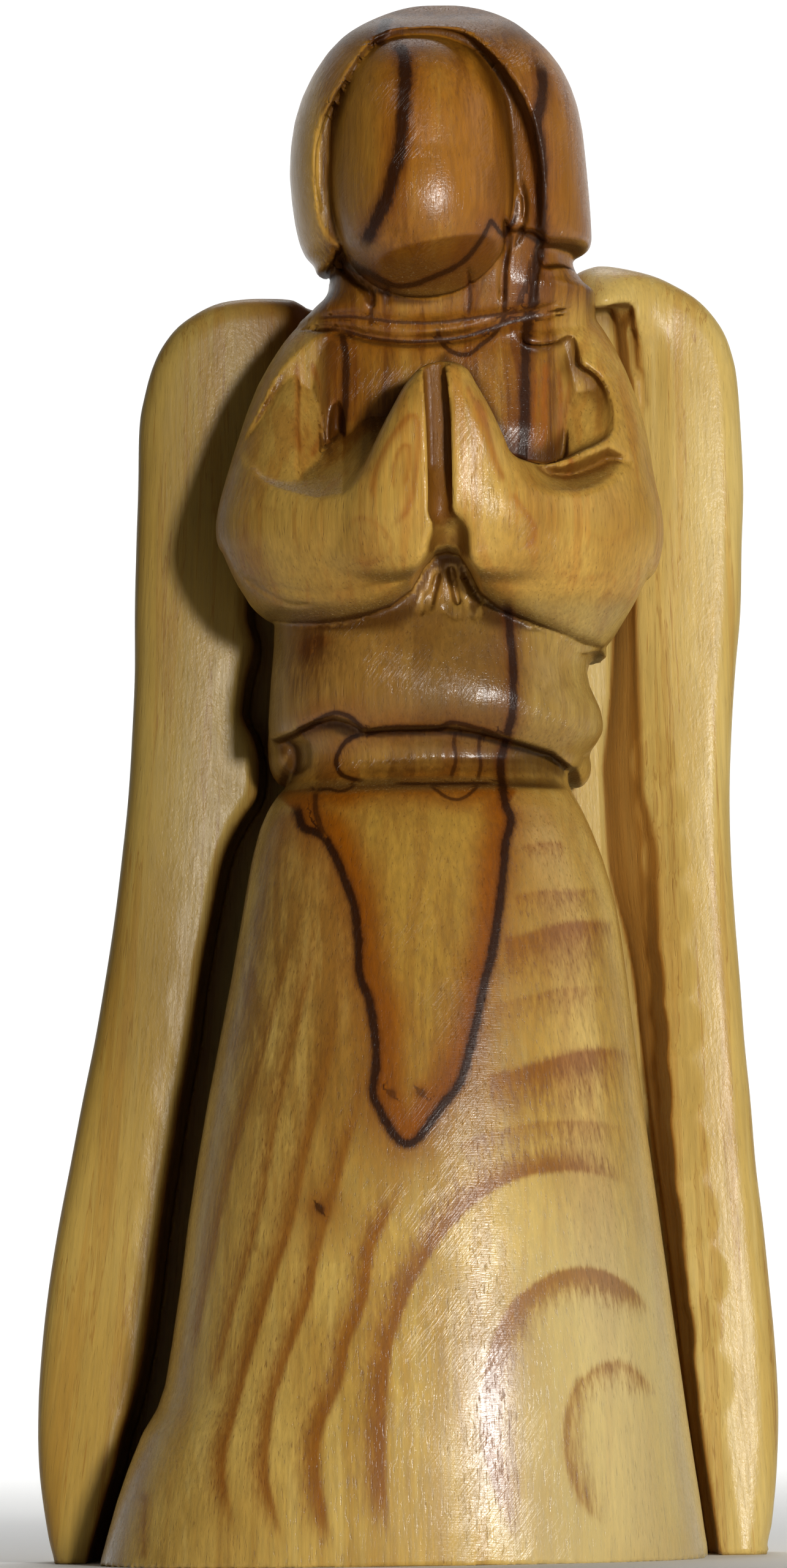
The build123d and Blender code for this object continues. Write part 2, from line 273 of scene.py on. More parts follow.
# ------------------------------------------------------------------ head
NK_L = side([(-6.80, 95.63), (-6.22, 96.33), (-5.46, 96.94), (-5.07, 97.60), (-4.96, 98.46), (-4.85, 99.41), (-4.79, 100.36), (-4.58, 102.26)], 0.2)
NK_R = side([(15.56, 97.31), (14.76, 97.89), (14.25, 98.57), (13.98, 99.14), (13.84, 99.62), (13.99, 100.19), (14.33, 100.80), (14.59, 101.99)], 0.15)
NK_F = prof([(93.43, 21.2), (94.37, 21.4), (95.54, 21.7), (96.95, 22.0), (98.37, 22.3), (100.25, 22.8), (102.60, 23)], 0.3)
NK_W = prof([(90, 12.5), (110, 13.0)], 0)
NK_B = prof([(90, 3.0), (97, 3.4), (101, 5.0), (110, 5.0)], 0.6)
HD_L = side([(-6.03, 99.59), (-6.73, 100.07), (-7.23, 101.22), (-7.54, 102.65), (-7.76, 104.32), (-7.92, 106.46), (-7.80, 108.60), (-7.49, 110.50), (-6.94, 112.26), (-6.07, 114.05), (-4.96, 115.71), (-3.66, 117.07), (-2.23, 118.05), (-0.80, 118.84), (0.63, 119.49), (1.82, 119.85)], 0.3)
HD_R = side([(13.82, 99.40), (14.54, 99.97), (15.02, 100.34), (15.31, 100.90), (15.28, 102.33), (15.17, 104.24), (14.97, 106.85), (14.73, 109.48), (14.38, 111.38), (13.88, 112.92), (13.19, 114.35), (12.27, 115.61), (11.10, 116.77), (9.84, 117.93), (8.43, 118.85), (7.02, 119.45), (5.61, 119.75), (4.42, 119.82)], 0.3)
HD_F = prof([(97.89, 22.5), (98.59, 24.0), (99.52, 25.6), (101.16, 27.0), (103.50, 28.2), (106.31, 28.8), (109.12, 28.9), (111.47, 28.5), (113.34, 27.7), (114.98, 26.5), (116.16, 25.3), (117.09, 23.8), (117.66, 22.2), (118.13, 20.0), (118.50, 18.0)], 0.5)
HD_B = prof([(98, 6.5), (101, 4.6), (105, 3.2), (109, 3.0), (113, 4.0), (116, 6.0), (118, 8.6), (119.5, 12.0)], 0.6)
HD_W = prof([(98, 15.5), (120, 15.5)], 0)
# opening of the hood: inner edge against the face, and outer edge along the rim
OPEN_IN = [(0.50, 116.46), (-0.58, 116.10), (-1.62, 115.36), (-2.33, 114.34), (-3.19, 112.84), (-4.24, 111.63), (-5.05, 110.05), (-5.59, 108.46), (-5.85, 106.58), (-5.78, 104.79), (-5.52, 102.91), (-5.17, 101.26), (-4.77, 99.85), (-4.14, 98.20), (-0.15, 96.74), (5.45, 96.66), (8.73, 98.02), (9.70, 100.35), (9.74, 103.17), (9.68, 105.52), (9.53, 107.63), (9.19, 109.75), (8.47, 111.74), (7.56, 113.44), (6.55, 114.78), (5.49, 115.83), (3.86, 116.41), (2.23, 116.58)]
OPEN_OUT = [(0.41, 116.30), (-0.81, 115.85), (-1.84, 115.12), (-2.70, 114.01), (-3.55, 112.52), (-4.22, 111.22), (-5.03, 109.64), (-5.57, 108.05), (-5.83, 106.19), (-5.76, 104.41), (-5.50, 102.53), (-5.15, 100.89), (-4.75, 99.48), (-4.13, 97.84), (-0.16, 95.92), (5.41, 95.84), (11.01, 97.16), (12.20, 99.48), (12.37, 101.35), (12.13, 103.69), (11.83, 105.80), (11.26, 108.14), (10.55, 110.17), (9.60, 111.91), (8.46, 113.57), (7.32, 114.99), (5.94, 116.18), (4.09, 116.63), (2.22, 116.56)]
# ------------------------------------------------------------------ hands
HANDS = [(2.54, 90.23), (1.61, 89.69), (0.67, 88.59), (-0.18, 87.11), (-0.94, 85.73), (-1.65, 84.35), (-2.27, 83.15), (-2.75, 82.23), (-3.51, 80.76), (-4.27, 78.91), (-4.33, 74.74), (11.09, 74.53), (10.92, 78.70), (9.89, 80.80), (9.17, 82.20), (8.59, 83.46), (8.10, 84.68), (7.47, 86.08), (6.84, 87.34), (6.12, 88.60), (5.49, 89.73), (4.62, 90.29), (3.56, 90.40)]
PALM = [(2.09, 91.59), (2.11, 89.74), (2.18, 87.89), (2.31, 84.18), (2.35, 80.48), (2.37, 78.73), (2.73, 78.12), (3.37, 77.88), (3.88, 78.15), (4.08, 78.80), (4.16, 81.38), (4.12, 85.08), (3.97, 87.86), (3.77, 89.72), (3.75, 91.57)]

dm = np.zeros((NX, NZ), np.float32)      # relief cut into the figure's front
# slot between the palms, and the fine ridge along its left side
psd = area_map(PALM)


def psd_at(x, z):
    return samp(psd, x, z)


# neck and collar
crease(dm, [(-7.40, 94.51), (-5.81, 94.30), (-3.94, 94.04), (-2.07, 93.40), (0.26, 92.99), (2.60, 92.95), (5.42, 93.29), (8.24, 94.19), (10.36, 94.68), (12.24, 95.08), (14.12, 95.48)], 0.80, 0.50)
crease(dm, [(-6.50, 95.20), (-3.92, 95.07), (-2.05, 94.81), (0.28, 94.45), (3.09, 94.36), (5.91, 94.65), (8.72, 95.03), (11.07, 95.38), (12.95, 95.96)], 0.65, 0.30)
crease(dm, [(-4.50, 100.09), (-3.77, 98.90), (-2.85, 97.86), (-1.83, 96.81), (-1.48, 95.58)], 0.5, 0.45)
crease(dm, [(-1.88, 96.90), (-1.75, 96.05), (-1.86, 94.74)], 0.28, 0.25)
crease(dm, [(-0.61, 97.07), (-0.44, 96.41), (-0.63, 95.76)], 0.25, 0.22)
crease(dm, [(5.67, 98.30), (5.84, 96.89), (5.71, 94.77)], 0.25, 0.20)
crease(dm, [(8.44, 102.03), (8.69, 100.14), (8.34, 98.26), (8.20, 95.44)], 0.40, 0.40)
crease(dm, [(9.61, 104.84), (10.05, 102.95), (9.74, 101.07), (9.16, 99.90)], 0.35, 0.28)
crease(dm, [(11.32, 100.34), (11.01, 98.70), (10.70, 96.82), (10.59, 95.41)], 0.40, 0.30)
# step under the veil on the right
scoop(dm, [(11.16, 100.26), (15.38, 100.34), (15.59, 98.40), (13.48, 98.71), (11.32, 98.46)], 0.55, 0.35)
# chisel marks between the arms' undersides
for pts_, w_, dp in (([(3.07, 75.05), (2.68, 73.43), (2.28, 71.81)], 0.45, 0.35),
                     ([(3.96, 75.50), (4.26, 73.87), (4.60, 72.24)], 0.5, 0.4),
                     ([(4.97, 75.02), (5.64, 73.62), (6.45, 72.21)], 0.4, 0.35),
                     ([(3.31, 72.26), (3.90, 71.55), (4.68, 71.31)], 0.4, 0.3),
                     ([(2.31, 73.43), (1.83, 72.28), (1.73, 71.58)], 0.35, 0.25),
                     ([(5.77, 72.69), (5.99, 71.75), (5.51, 71.16)], 0.35, 0.25)):
    crease(dm, pts_, w_, dp)
# belt: fine upright gouge marks, and a dished patch at its left end
BELT = [(-4.54, 62.64), (4.26, 62.52), (4.22, 59.72)]
for i in range(24):
    xx = BELT[0][0] + (BELT[1][0] - BELT[0][0]) * i / 23
    z1 = BELT[0][1] - 0.25 * math.sin(i * 1.7)
    z2 = BELT[2][1] - 0.25 * math.cos(i * 2.1)
    crease(dm, [(xx, z1), (xx + 0.07, (z1 + z2) / 2), (xx, z2)], 0.17, 0.11)
scoop(dm, [(-8.55, 62.58), (-7.15, 62.84), (-6.61, 61.90), (-6.81, 60.50), (-7.66, 59.95), (-8.49, 60.29)], 0.30, 0.6)
# facet edges on the sleeves and the waist
crease(dm, [(-11.80, 75.11), (-10.20, 73.78), (-8.36, 72.74), (-6.51, 72.52)], 0.30, 0.14)
crease(dm, [(-10.66, 74.26), (-6.03, 73.26), (-2.32, 73.49), (0.46, 74.01)], 0.45, 0.10)
scoop(dm, [(14.53, 69.15), (15.85, 69.60), (15.90, 66.88), (14.78, 66.99), (14.19, 68.07)], 0.35, 0.5)

AMP = np.array(AB_BOTTOM); AMP = AMP[np.argsort(AMP[:, 0])]
ARMB = np.array(AR_BOTTOM); ARMB = ARMB[np.argsort(ARMB[:, 0])]
HSD = area_map(HANDS, margin=8)
OIN, OOUT = area_map(OPEN_IN, margin=9), area_map(OPEN_OUT, margin=9)
# hollows inside the arms
# left: rim over the forearm (x, z, depth of the surface there), roof, and how much comes off the arm
PL_RIM = np.array([(-13.5, 84.6, 20.5), (-11.54, 83.48, 22.2), (-10.83, 82.88, 23.5), (-10.13, 82.0, 24.7), (-9.19, 81.42, 25.8),
                   (-8.25, 81.0, 26.7), (-7.09, 80.57, 27.7), (-5.93, 80.25, 28.5), (-4.07, 80.43, 29.7), (-2.66, 81.65, 30.4),
                   (-1.9, 82.0, 30.6), (5.0, 82.0, 30.6)])
PL_TOP = np.array([(-13.0, 84.0), (-10.6, 87.4), (-9.0, 90.2), (-8.0, 92.1), (-7.1, 93.2), (-6.4, 94.0), (-5.7, 96.0), (-5.0, 98.5), (9.0, 98.5)])
PL_OFF = np.array([(-12.4, 0.0), (-10.8, 0.30), (-9.6, 0.55), (-8.2, 0.85), (-7.55, 1.05), (-7.3, 1.75), (-6.6, 2.5), (-5.85, 3.3), (-5.6, 4.5),
                   (-5.3, 5.2), (-5.05, 7.4), (-4.4, 11.0), (-3.4, 20.0)])
# right: an upper dish, a lower dish standing a little prouder
PR_UP = area_map([(12.21, 93.1), (13.17, 93.7), (14.05, 93.3), (14.32, 92.4), (14.45, 91.3), (15.12, 90.84), (15.86, 90.19), (16.45, 88.9),
                  (16.75, 87.44), (16.7, 86.3), (16.2, 85.3), (15.2, 84.6), (14.0, 84.1), (13.0, 83.6), (12.0, 83.2), (10.8, 83.1), (8.9, 83.7),
                  (6.5, 84.2), (4.2, 86.0), (3.4, 93.0), (3.4, 98.4), (6.0, 98.6), (9.3, 98.4), (9.75, 95.5), (9.9, 93.3), (10.6, 92.8)], margin=6)
PR_DOWN = area_map([(12.1, 83.9), (14.3, 84.6), (16.2, 85.2), (17.4, 84.3), (17.95, 83.39), (17.37, 82.74), (16.78, 82.16), (15.90, 81.45),
                    (14.71, 80.85), (13.29, 80.42), (11.74, 80.42), (10.53, 80.71), (9.6, 81.4), (8.9, 82.4), (8.2, 83.6), (7.0, 84.8), (9.5, 85.5)], margin=6)
PR_DEPTH = np.array([(9.6, 31.0), (10.5, 30.6), (11.7, 29.5), (13.3, 28.2), (14.7, 26.9), (15.9, 25.7), (16.8, 24.6), (17.4, 23.7), (17.9, 22.7)])
PR_OFF = np.array([(9.5, 16.0), (10.0, 9.0), (10.7, 7.0), (11.9, 6.0), (12.8, 5.2), (13.15, 3.5), (14.0, 2.8), (14.9, 2.1), (15.9, 1.35), (16.7, 0.55), (17.2, 0.0)])
PR_OFF2 = np.array([(8.0, 14.0), (9.2, 9.0), (9.8, 6.2), (10.8, 4.4), (11.9, 4.0), (12.4, 4.8), (13.3, 4.6), (13.65, 3.0), (14.8, 2.4), (16.2, 1.6), (17.6, 0.5), (18.3, 0.0)])


def f_figure(x, d, z):
    body = loft(x, d, z, SK_L, SK_R, SK_W, SK_F, SK_B, 2.25, 2.6)
    body = np.maximum(body, z - 69.0)
    ab = loft(x, d, z, AB_L, AB_R, AB_W, AB_F, SK_B, 2.5, 2.6)
    zb = np.interp(x, AMP[:, 0], AMP[:, 1])
    ab = smax(ab, (zb - z) * 0.85, 0.5)
    ab = np.maximum(ab, z - 77.0)
    f = np.minimum(body, ab)
    f = smin(f, ell(x, d, z, BELT_L, (1.5, 5.5, 2.3)), 0.9)
    f = smin(f, ell(x, d, z, BELT_R, (1.2, 4.0, 1.6)), 0.8)
    # chest
    ch = loft(x, d, z, CH_L, CH_R, CH_W, CH_F, SK_B, 2.8, 2.6)
    ch = np.maximum(ch, np.maximum(69.0 - z, z - 98.0))
    ch = smax(ch, -ell(x, d, z, HOLE_L, (1.7, 3.4, 2.3)), 0.4)
    ch = smax(ch, -ell(x, d, z, HOLE_L2, (0.75, 2.8, 3.0)), 0.3)
    f = smin(f, ch, 0.5)
    # sleeves: outer mass, forearms and hands
    ar = loft(x, d, z, AR_L, AR_R, AR_W, AR_F, SK_B, 2.35, 2.4)
    low = caps(x, d, z, (-7.9, 18.5, 78.6), (0.4, 26.6, 79.4), 5.2, 5.4)
    low = smin(low, caps(x, d, z, (14.6, 18.5, 78.0), (6.9, 26.6, 79.2), 5.4, 5.6), 0.6)
    ar = smin(ar, low, 2.0)
    r = 1.7
    dtop = 32.6 - 0.045 * (x - 3.5) ** 2 - 0.020 * np.clip(z - 84.0, 0, 20) ** 2 - 0.012 * np.clip(82 - z, 0, 20) ** 2
    hs = samp(HSD, x, z)
    q1, q2 = hs + r, (d - dtop) + r
    hands = np.minimum(np.maximum(q1, q2), 0) + np.sqrt(np.maximum(q1, 0) ** 2 + np.maximum(q2, 0) ** 2) - r
    # the backs of the hands are rounded: lower towards their edges
    hands = np.maximum(hands, 20.0 - d)
    # hollows inside the arms: facets lean in to a deep corner, the forearm's top is a shelf
    rim_z, rim_d = np.interp(x, PL_RIM[:, 0], PL_RIM[:, 1]), np.interp(x, PL_RIM[:, 0], PL_RIM[:, 2])
    shelf = rim_z + 0.62 * (rim_d - d)
    roof = np.interp(x, PL_TOP[:, 0], PL_TOP[:, 1])
    cut_l = smax(smax(-(ar + np.interp(x, PL_OFF[:, 0], PL_OFF[:, 1])), shelf - z, 0.3), z - roof, 0.7)
    cut_l = np.maximum(np.maximum(cut_l, x - 4.0), 19.6 - d)
    cut_r = smax(samp(PR_UP, x, z) - 0.10 * (d - 24.0), -(ar + np.interp(x, PR_OFF[:, 0], PR_OFF[:, 1])), 0.9)
    cut_r = np.maximum(cut_r, 19.6 - d)
    dip = d - np.interp(x, PR_DEPTH[:, 0], PR_DEPTH[:, 1])
    cut_r2 = smax(samp(PR_DOWN, x, z) - 0.55 * dip, -(ar + np.interp(x, PR_OFF2[:, 0], PR_OFF2[:, 1])), 0.3)
    cut_r2 = np.maximum(cut_r2, 19.6 - d)
    ar = smax(ar, -cut_l, 0.18)
    ar = smax(ar, -cut_r, 0.7)
    ar = smax(ar, -cut_r2, 0.35)
    slot = np.maximum(psd_at(x, z), 30.7 - d)
    hands = smax(hands, -slot, 0.12)
    ar = smin(ar, hands, 0.7)
    # dimple over the wrists, between the sleeves
    ar = smax(ar, -ell(x, d, z, DIMPLE, (1.5, 3.4, 1.9)), 0.7)
    zb = np.interp(x, ARMB[:, 0], ARMB[:, 1])
    ar = smax(ar, (zb - z) * 0.92, 1.6)
    ar = np.maximum(ar, z - 97.5)
    f = np.minimum(f, ar)
    # neck and the veil's back
    nk = loft(x, d, z, NK_L, NK_R, NK_W, NK_F, NK_B, 2.9, 2.3)
    nk = np.maximum(nk, np.maximum(92.0 - z, z - 108.0))
    f = smin(f, nk, 0.35)
    # hood with its opening
    hd = loft(x, d, z, HD_L, HD_R, HD_W, HD_F, HD_B, 2.35, 2.2)
    hd = smax(hd, z - TOP, 1.6)
    zlow = np.interp(x, HOOD_LOW[:, 0], HOOD_LOW[:, 1])
    hd = smax(hd, (zlow - z), 0.7)
    t = np.clip((d - 22.0) / 5.0, 0, 1.15)
    op = samp(OIN, x, z) * (1 - t) + samp(OOUT, x, z) * t
    bed = 22.9 + 1.2 * sstep(-4.5, 2.5, x) + 0.10 * np.clip(x - 7.0, 0, 5)
    cav = np.maximum(op, bed - d)
    hd = smax(hd, -cav, 0.35)
    f = smin(f, hd, 0.25)
    # blank face: plain ovoid, leaning forward at the chin, cut level underneath
    zz = z - FACE_C[1]
    tilt = np.where(zz > 0, 0.12, 0.24) * zz
    rz = np.where(zz > 0, 10.3, 10.7)
    ez = np.where(zz > 0, 3.0, 2.5)
    rx = np.where(x > FACE_C[0], 7.95, 7.15)
    fx, fd, fz = (x - FACE_C[0]) / rx, (d + tilt - 19.4) / 10.2, zz / rz
    k0 = (np.abs(fx) ** 2.15 + np.abs(fd) ** 2.15 + np.abs(fz) ** ez + 1e-9) ** (1 / 2.15)
    face = (k0 - 1) * 8.2
    # the chin is one level knife cut, undercut down to the throat
    q = (x - 0.9) ** 2
    under = 0.47 * (d - (29.2 - 0.080 * q)) + 0.883 * (CHIN + 0.010 * q - z)
    chin = smax(face, under, 0.10)
    f = smin(f, chin, 0.12)
    # relief lines, only on the front
    f = f + samp(dm, x, z) * sstep(14.0, 18.0, d)
    # ground and seat
    f = np.maximum(f, -z)
    seat = np.where(x < seam_of(z), LEFT_SEAT, SEAT_D) - d
    f = np.where(z < 97.6, np.maximum(f, seat), f)
    return f


SEAT_D = 5.6
LEFT_SEAT = 3.6


def seam_of(z):
    return 3.9 * z / 97.0 - 0.11


TOP = 119.45
CHIN = [(0.82, 99.42)][0][1]
FACE_C = [(2.09, 106.94)][0]
HOOD_LOW = [(-9.48, 98.70), (-6.67, 98.66), (-5.27, 98.74), (-4.56, 99.39), (-3.84, 100.32), (-1.96, 101.23), (10.67, 101.05), (12.06, 100.00), (16.27, 100.08)]
HOOD_LOW = np.array(HOOD_LOW)
BELT_L = ([(-8.69, 61.84)][0][0], 11.0, [(-8.69, 61.84)][0][1])
BELT_R = ([(13.57, 60.90)][0][0], 9.5, [(13.57, 60.90)][0][1])
HOLE_L = ([(-3.42, 82.82)][0][0], 23.2, [(-3.42, 82.82)][0][1])
HOLE_L2 = ([(-4.54, 86.27)][0][0], 22.8, [(-4.54, 86.27)][0][1])
DIMPLE = tuple([[(3.96, 76.76)][0][0], 33.0, [(3.96, 76.76)][0][1]])


# ------------------------------------------------------------------ side panels
LW_OUT = [(3.28, 97.12), (-2.08, 97.20), (-6.14, 97.35), (-7.00, 97.65), (-7.81, 98.10), (-8.76, 98.21), (-9.72, 98.22), (-11.63, 98.15), (-14.03, 97.70), (-16.44, 96.34), (-17.89, 94.77), (-18.88, 92.87), (-19.57, 90.47), (-19.99, 88.08), (-20.14, 83.28), (-20.34, 78.49), (-20.50, 73.70)] + [(-20.56, 68.68), (-20.81, 63.92), (-21.15, 59.17), (-21.69, 54.42), (-22.31, 49.68), (-23.08, 44.94), (-23.94, 40.21), (-24.95, 35.48), (-25.90, 30.76), (-26.86, 26.04), (-27.67, 21.32), (-28.25, 16.61), (-28.58, 11.89), (-28.54, 7.18), (-27.94, 2.46), (-27.40, 0.00), (-27.24, -2.26), (-12.88, -2.46), (-0.04, -2.64)]
LW_RIM = [(-6.82, 96.80), (-7.23, 95.13), (-8.07, 92.28), (-9.56, 87.52), (-10.43, 82.76), (-11.11, 78.00), (-11.45, 74.19), (-11.46, 72.77), (-10.96, 71.09), (-11.13, 69.67), (-11.52, 68.48), (-11.83, 66.82), (-11.94, 65.39), (-11.53, 64.44), (-11.06, 63.48), (-10.71, 61.81), (-10.73, 60.15), (-11.03, 58.73), (-11.80, 57.55), (-12.63, 56.14), (-13.46, 54.25), (-14.51, 49.52), (-15.43, 44.79), (-16.10, 40.06), (-17.01, 35.34), (-17.83, 30.63), (-18.60, 25.91), (-19.22, 21.20), (-19.94, 16.49), (-20.89, 12.26), (-21.82, 9.45), (-22.37, 7.10), (-23.11, 4.76), (-23.84, 2.42), (-24.53, -0.02), (-24.84, -2.27)]
RW_OUT = [(3.31, 99.19), (10.39, 99.09), (13.51, 99.38), (14.47, 99.85), (15.43, 100.18), (16.63, 100.25), (19.97, 99.53), (21.97, 98.64), (23.53, 97.66), (24.71, 96.48), (25.73, 94.93), (26.33, 93.19), (26.68, 91.27), (26.90, 87.42), (27.02, 82.62), (26.80, 77.83), (26.62, 73.04)] + [(26.10, 68.03), (25.73, 63.27), (25.51, 58.52), (25.53, 53.76), (25.74, 49.00), (26.04, 44.25), (26.30, 39.51), (26.69, 34.76), (26.99, 30.02), (27.48, 25.28), (27.88, 20.55), (28.23, 15.82), (28.38, 11.10), (28.16, 6.39), (27.67, 2.15), (27.32, 0.75), (27.11, -3.02), (10.73, -2.79), (-0.04, -2.64)]
RW_RIM = [(18.39, 96.69), (18.65, 95.25), (19.05, 93.33), (19.11, 90.94), (19.21, 88.07), (19.05, 84.26), (18.74, 79.49), (18.40, 75.68), (18.26, 72.83), (18.28, 68.06), (18.35, 63.31), (18.37, 59.03), (18.63, 57.12), (18.98, 55.22), (19.03, 52.37), (18.93, 49.05), (19.16, 45.73), (19.35, 42.41), (19.53, 39.09), (19.75, 34.83), (19.92, 31.04), (20.37, 26.31), (20.90, 21.11), (21.26, 16.86), (21.53, 13.08), (21.98, 8.84), (22.53, 4.59), (23.03, 0.82), (23.35, -2.94)]
RW_FLR = [(17.04, 97.05), (17.25, 95.61), (17.44, 92.25), (17.46, 87.45), (17.22, 77.87), (16.81, 73.09), (16.55, 68.31), (16.04, 63.54), (15.72, 61.16), (15.83, 58.77), (15.99, 54.00), (16.47, 51.14), (17.24, 48.27), (17.94, 44.45), (18.43, 39.69), (18.93, 34.93), (19.35, 31.12), (19.94, 26.37), (20.52, 21.14), (20.97, 16.87), (21.34, 13.08), (21.84, 8.82), (22.43, 4.55), (22.94, 0.77), (23.26, -3.01)]


def seam_x(z):
    return 3.9 * z / 97.0 - 0.11


def half_region(rim, sign):
    """Closed outline from a rim line across to beyond the seam."""
    far = -sign * 12.0
    return [tuple(p) for p in smooth_line(rim, False, 0.6)] + [(far, rim[-1][1]), (far, rim[0][1])]


LW2 = area_map(smooth_line(LW_OUT, False, 0.5), margin=8, smooth=False)
RW2 = area_map(smooth_line(RW_OUT, False, 0.5), margin=8, smooth=False)
LWR = area_map(half_region(LW_RIM, -1), margin=8, smooth=False)
RWR = area_map(half_region(RW_RIM, 1), margin=8, smooth=False)
RWF = area_map(half_region(RW_FLR, 1), margin=8, smooth=False)

wdm = np.zeros((NX, NZ), np.float32)      # gouge facets on the panels
LRIM_D, _ = line_map(LW_RIM, margin=6)
RRIM_D, _ = line_map(RW_RIM, margin=6)
# a narrow knife bevel along both inner edges
wdm += (0.45 * np.clip(1 - LRIM_D / 1.1, 0, 1) ** 1.0).astype(np.float32)
wdm += (0.50 * np.clip(1 - RRIM_D / 2.2, 0, 1) ** 1.0).astype(np.float32)
for (cx, cz), rx, rz, dp in zip(
        [(19.55, 61.39), (20.06, 57.67), (20.28, 53.78), (20.40, 49.51), (20.71, 44.76), (21.11, 40.49), (21.23, 35.76), (21.53, 31.02), (22.02, 26.05), (22.89, 21.32), (22.35, 17.32), (23.23, 13.06), (-13.50, 66.13), (-13.37, 61.37), (-14.74, 54.27), (-16.10, 48.12), (-17.02, 42.44), (-18.14, 36.30), (-18.96, 30.64), (-19.79, 24.98), (-20.52, 19.33), (-21.88, 12.75), (-23.51, 6.18)],
        (1.7, 1.9, 1.7, 1.8, 1.7, 1.8, 1.6, 1.7, 1.8, 1.6, 1.5, 1.6) + (1.2,) * 11,
        (2.3, 2.0, 2.4, 2.6, 2.5, 2.4, 2.6, 2.6, 2.6, 2.4, 2.2, 2.6) + (3.2,) * 11,
        (0.30, 0.34, 0.30, 0.30, 0.30, 0.32, 0.28, 0.26, 0.30, 0.28, 0.26, 0.22) + (0.07,) * 11):
    r2 = ((MX - cx) / rx) ** 2 + ((MZ - cz) / rz) ** 2
    wdm += (dp * np.clip(1 - r2, 0, 1)).astype(np.float32)
crease(wdm, [(18.44, 95.46), (18.66, 93.93), (18.73, 92.49), (18.81, 91.44)], 0.42, 0.55)
crease(wdm, [(19.06, 92.20), (19.18, 90.57), (19.34, 88.75)], 0.35, 0.40)
NOTCH_C = [(16.25, 96.72)][0]


def band_front(x, z):
    f = 14.6 - 6.6 * np.clip(z / 98.0, 0, 1) ** 0.9
    mid = np.where(x < 0, -19.5 - 0.05 * (50 - z), 22.5)
    return f - 0.018 * (x - mid) ** 2


def panel_body(x, d, z, out_map, front):
    s2 = samp(out_map, x, z)
    f = smax(s2, d - front, 1.9)
    return smax(f, -d, 2.6)


def f_left(x, d, z):
    front = band_front(x, z)
    f = panel_body(x, d, z, LW2, front)
    rim = samp(LWR, x, z)
    t = np.clip((d - 3.0) / 8.0, 0, 1.2)
    cut = np.maximum(rim - 0.25 * (t - 1.0), LEFT_FLOOR - d)
    f = smax(f, -cut, 0.35)
    f = f + samp(wdm, x, z) * sstep(LEFT_FLOOR + 1.0, LEFT_FLOOR + 3.0, d)
    f = np.maximum(f, x - seam_x(z))
    f = np.maximum(f, 1.0 - (d + (seam_x(z) - x)) )
    return np.maximum(f, -z)


def f_right(x, d, z):
    front = band_front(x, z)
    bump = np.exp(-(((x - NOTCH_C[0]) / 3.2) ** 2 + ((z - NOTCH_C[1]) / 3.0) ** 2))
    front = front + 3.4 * bump
    f = panel_body(x, d, z, RW2, front)
    t = np.clip((d - RIGHT_FLOOR) / 4.2, 0, 1.25)
    rim = samp(RWF, x, z) * (1 - t) + samp(RWR, x, z) * t
    cut = np.maximum(rim, RIGHT_FLOOR - d)
    f = smax(f, -cut, 0.35)
    f = f + samp(wdm, x, z) * sstep(RIGHT_FLOOR + 0.8, RIGHT_FLOOR + 2.6, d)
    f = np.maximum(f, seam_x(z) - x)
    f = np.maximum(f, 1.0 - (d + (x - seam_x(z))))
    return np.maximum(f, -z)


LEFT_FLOOR = 3.6
RIGHT_FLOOR = 5.6


# ------------------------------------------------------------------ from implicit solid to mesh
CORNER = [(0, 0, 0), (1, 0, 0), (0, 1, 0), (1, 1, 0), (0, 0, 1), (1, 0, 1), (0, 1, 1), (1, 1, 1)]
EDGES = [(0, 1), (2, 3), (4, 5), (6, 7), (0, 2), (1, 3), (4, 6), (5, 7), (0, 4), (1, 5), (2, 6), (3, 7)]


def nets(F, origin, h):
    """Surface nets: one vertex in each cell that the surface crosses."""
    S = F < 0
    n = np.array(F.shape) - 1
    cnt = np.zeros(n, np.int8)
    for c in CORNER:
        cnt += S[c[0]:c[0] + n[0], c[1]:c[1] + n[1], c[2]:c[2] + n[2]]
    act = (cnt > 0) & (cnt < 8)
    idx = np.full(n, -1, np.int64)
    I, J, K = np.nonzero(act)
    idx[I, J, K] = np.arange(len(I))
    V = np.stack([F[I + c[0], J + c[1], K + c[2]] for c in CORNER], 1)
    P = np.zeros((len(I), 3))
    m = np.zeros(len(I))
    C = np.array(CORNER, float)
    for a, b in EDGES:
        x = (V[:, a] < 0) != (V[:, b] < 0)
        t = np.where(x, V[:, a] / np.where(x, V[:, a] - V[:, b], 1), 0)[:, None]
        P += np.where(x[:, None], C[a] + (C[b] - C[a]) * t, 0)
        m += x
    P = P / m[:, None] + np.stack([I, J, K], 1)
    P = P * h + np.array(origin)
    quads = []
    for ax in range(3):
        o1, o2 = [(1, 2), (2, 0), (0, 1)][ax]
        sl_a = [slice(None)] * 3
        sl_b = [slice(None)] * 3
        sl_a[ax], sl_b[ax] = slice(0, -1), slice(1, None)
        A, B = S[tuple(sl_a)], S[tuple(sl_b)]
        ii = np.stack(np.nonzero(A != B), 1)
        ok = (ii[:, o1] > 0) & (ii[:, o2] > 0) & (ii[:, o1] < n[o1]) & (ii[:, o2] < n[o2])
        ii = ii[ok]
        inside_first = A[ii[:, 0], ii[:, 1], ii[:, 2]]
        e1, e2 = np.zeros(3, int), np.zeros(3, int)
        e1[o1], e2[o2] = 1, 1
        q = np.stack([idx[tuple((ii - e1 - e2).T)], idx[tuple((ii - e2).T)], idx[tuple(ii.T)], idx[tuple((ii - e1).T)]], 1)
        q[~inside_first] = q[~inside_first][:, ::-1]
        quads.append(q)
    return P, np.vstack(quads)


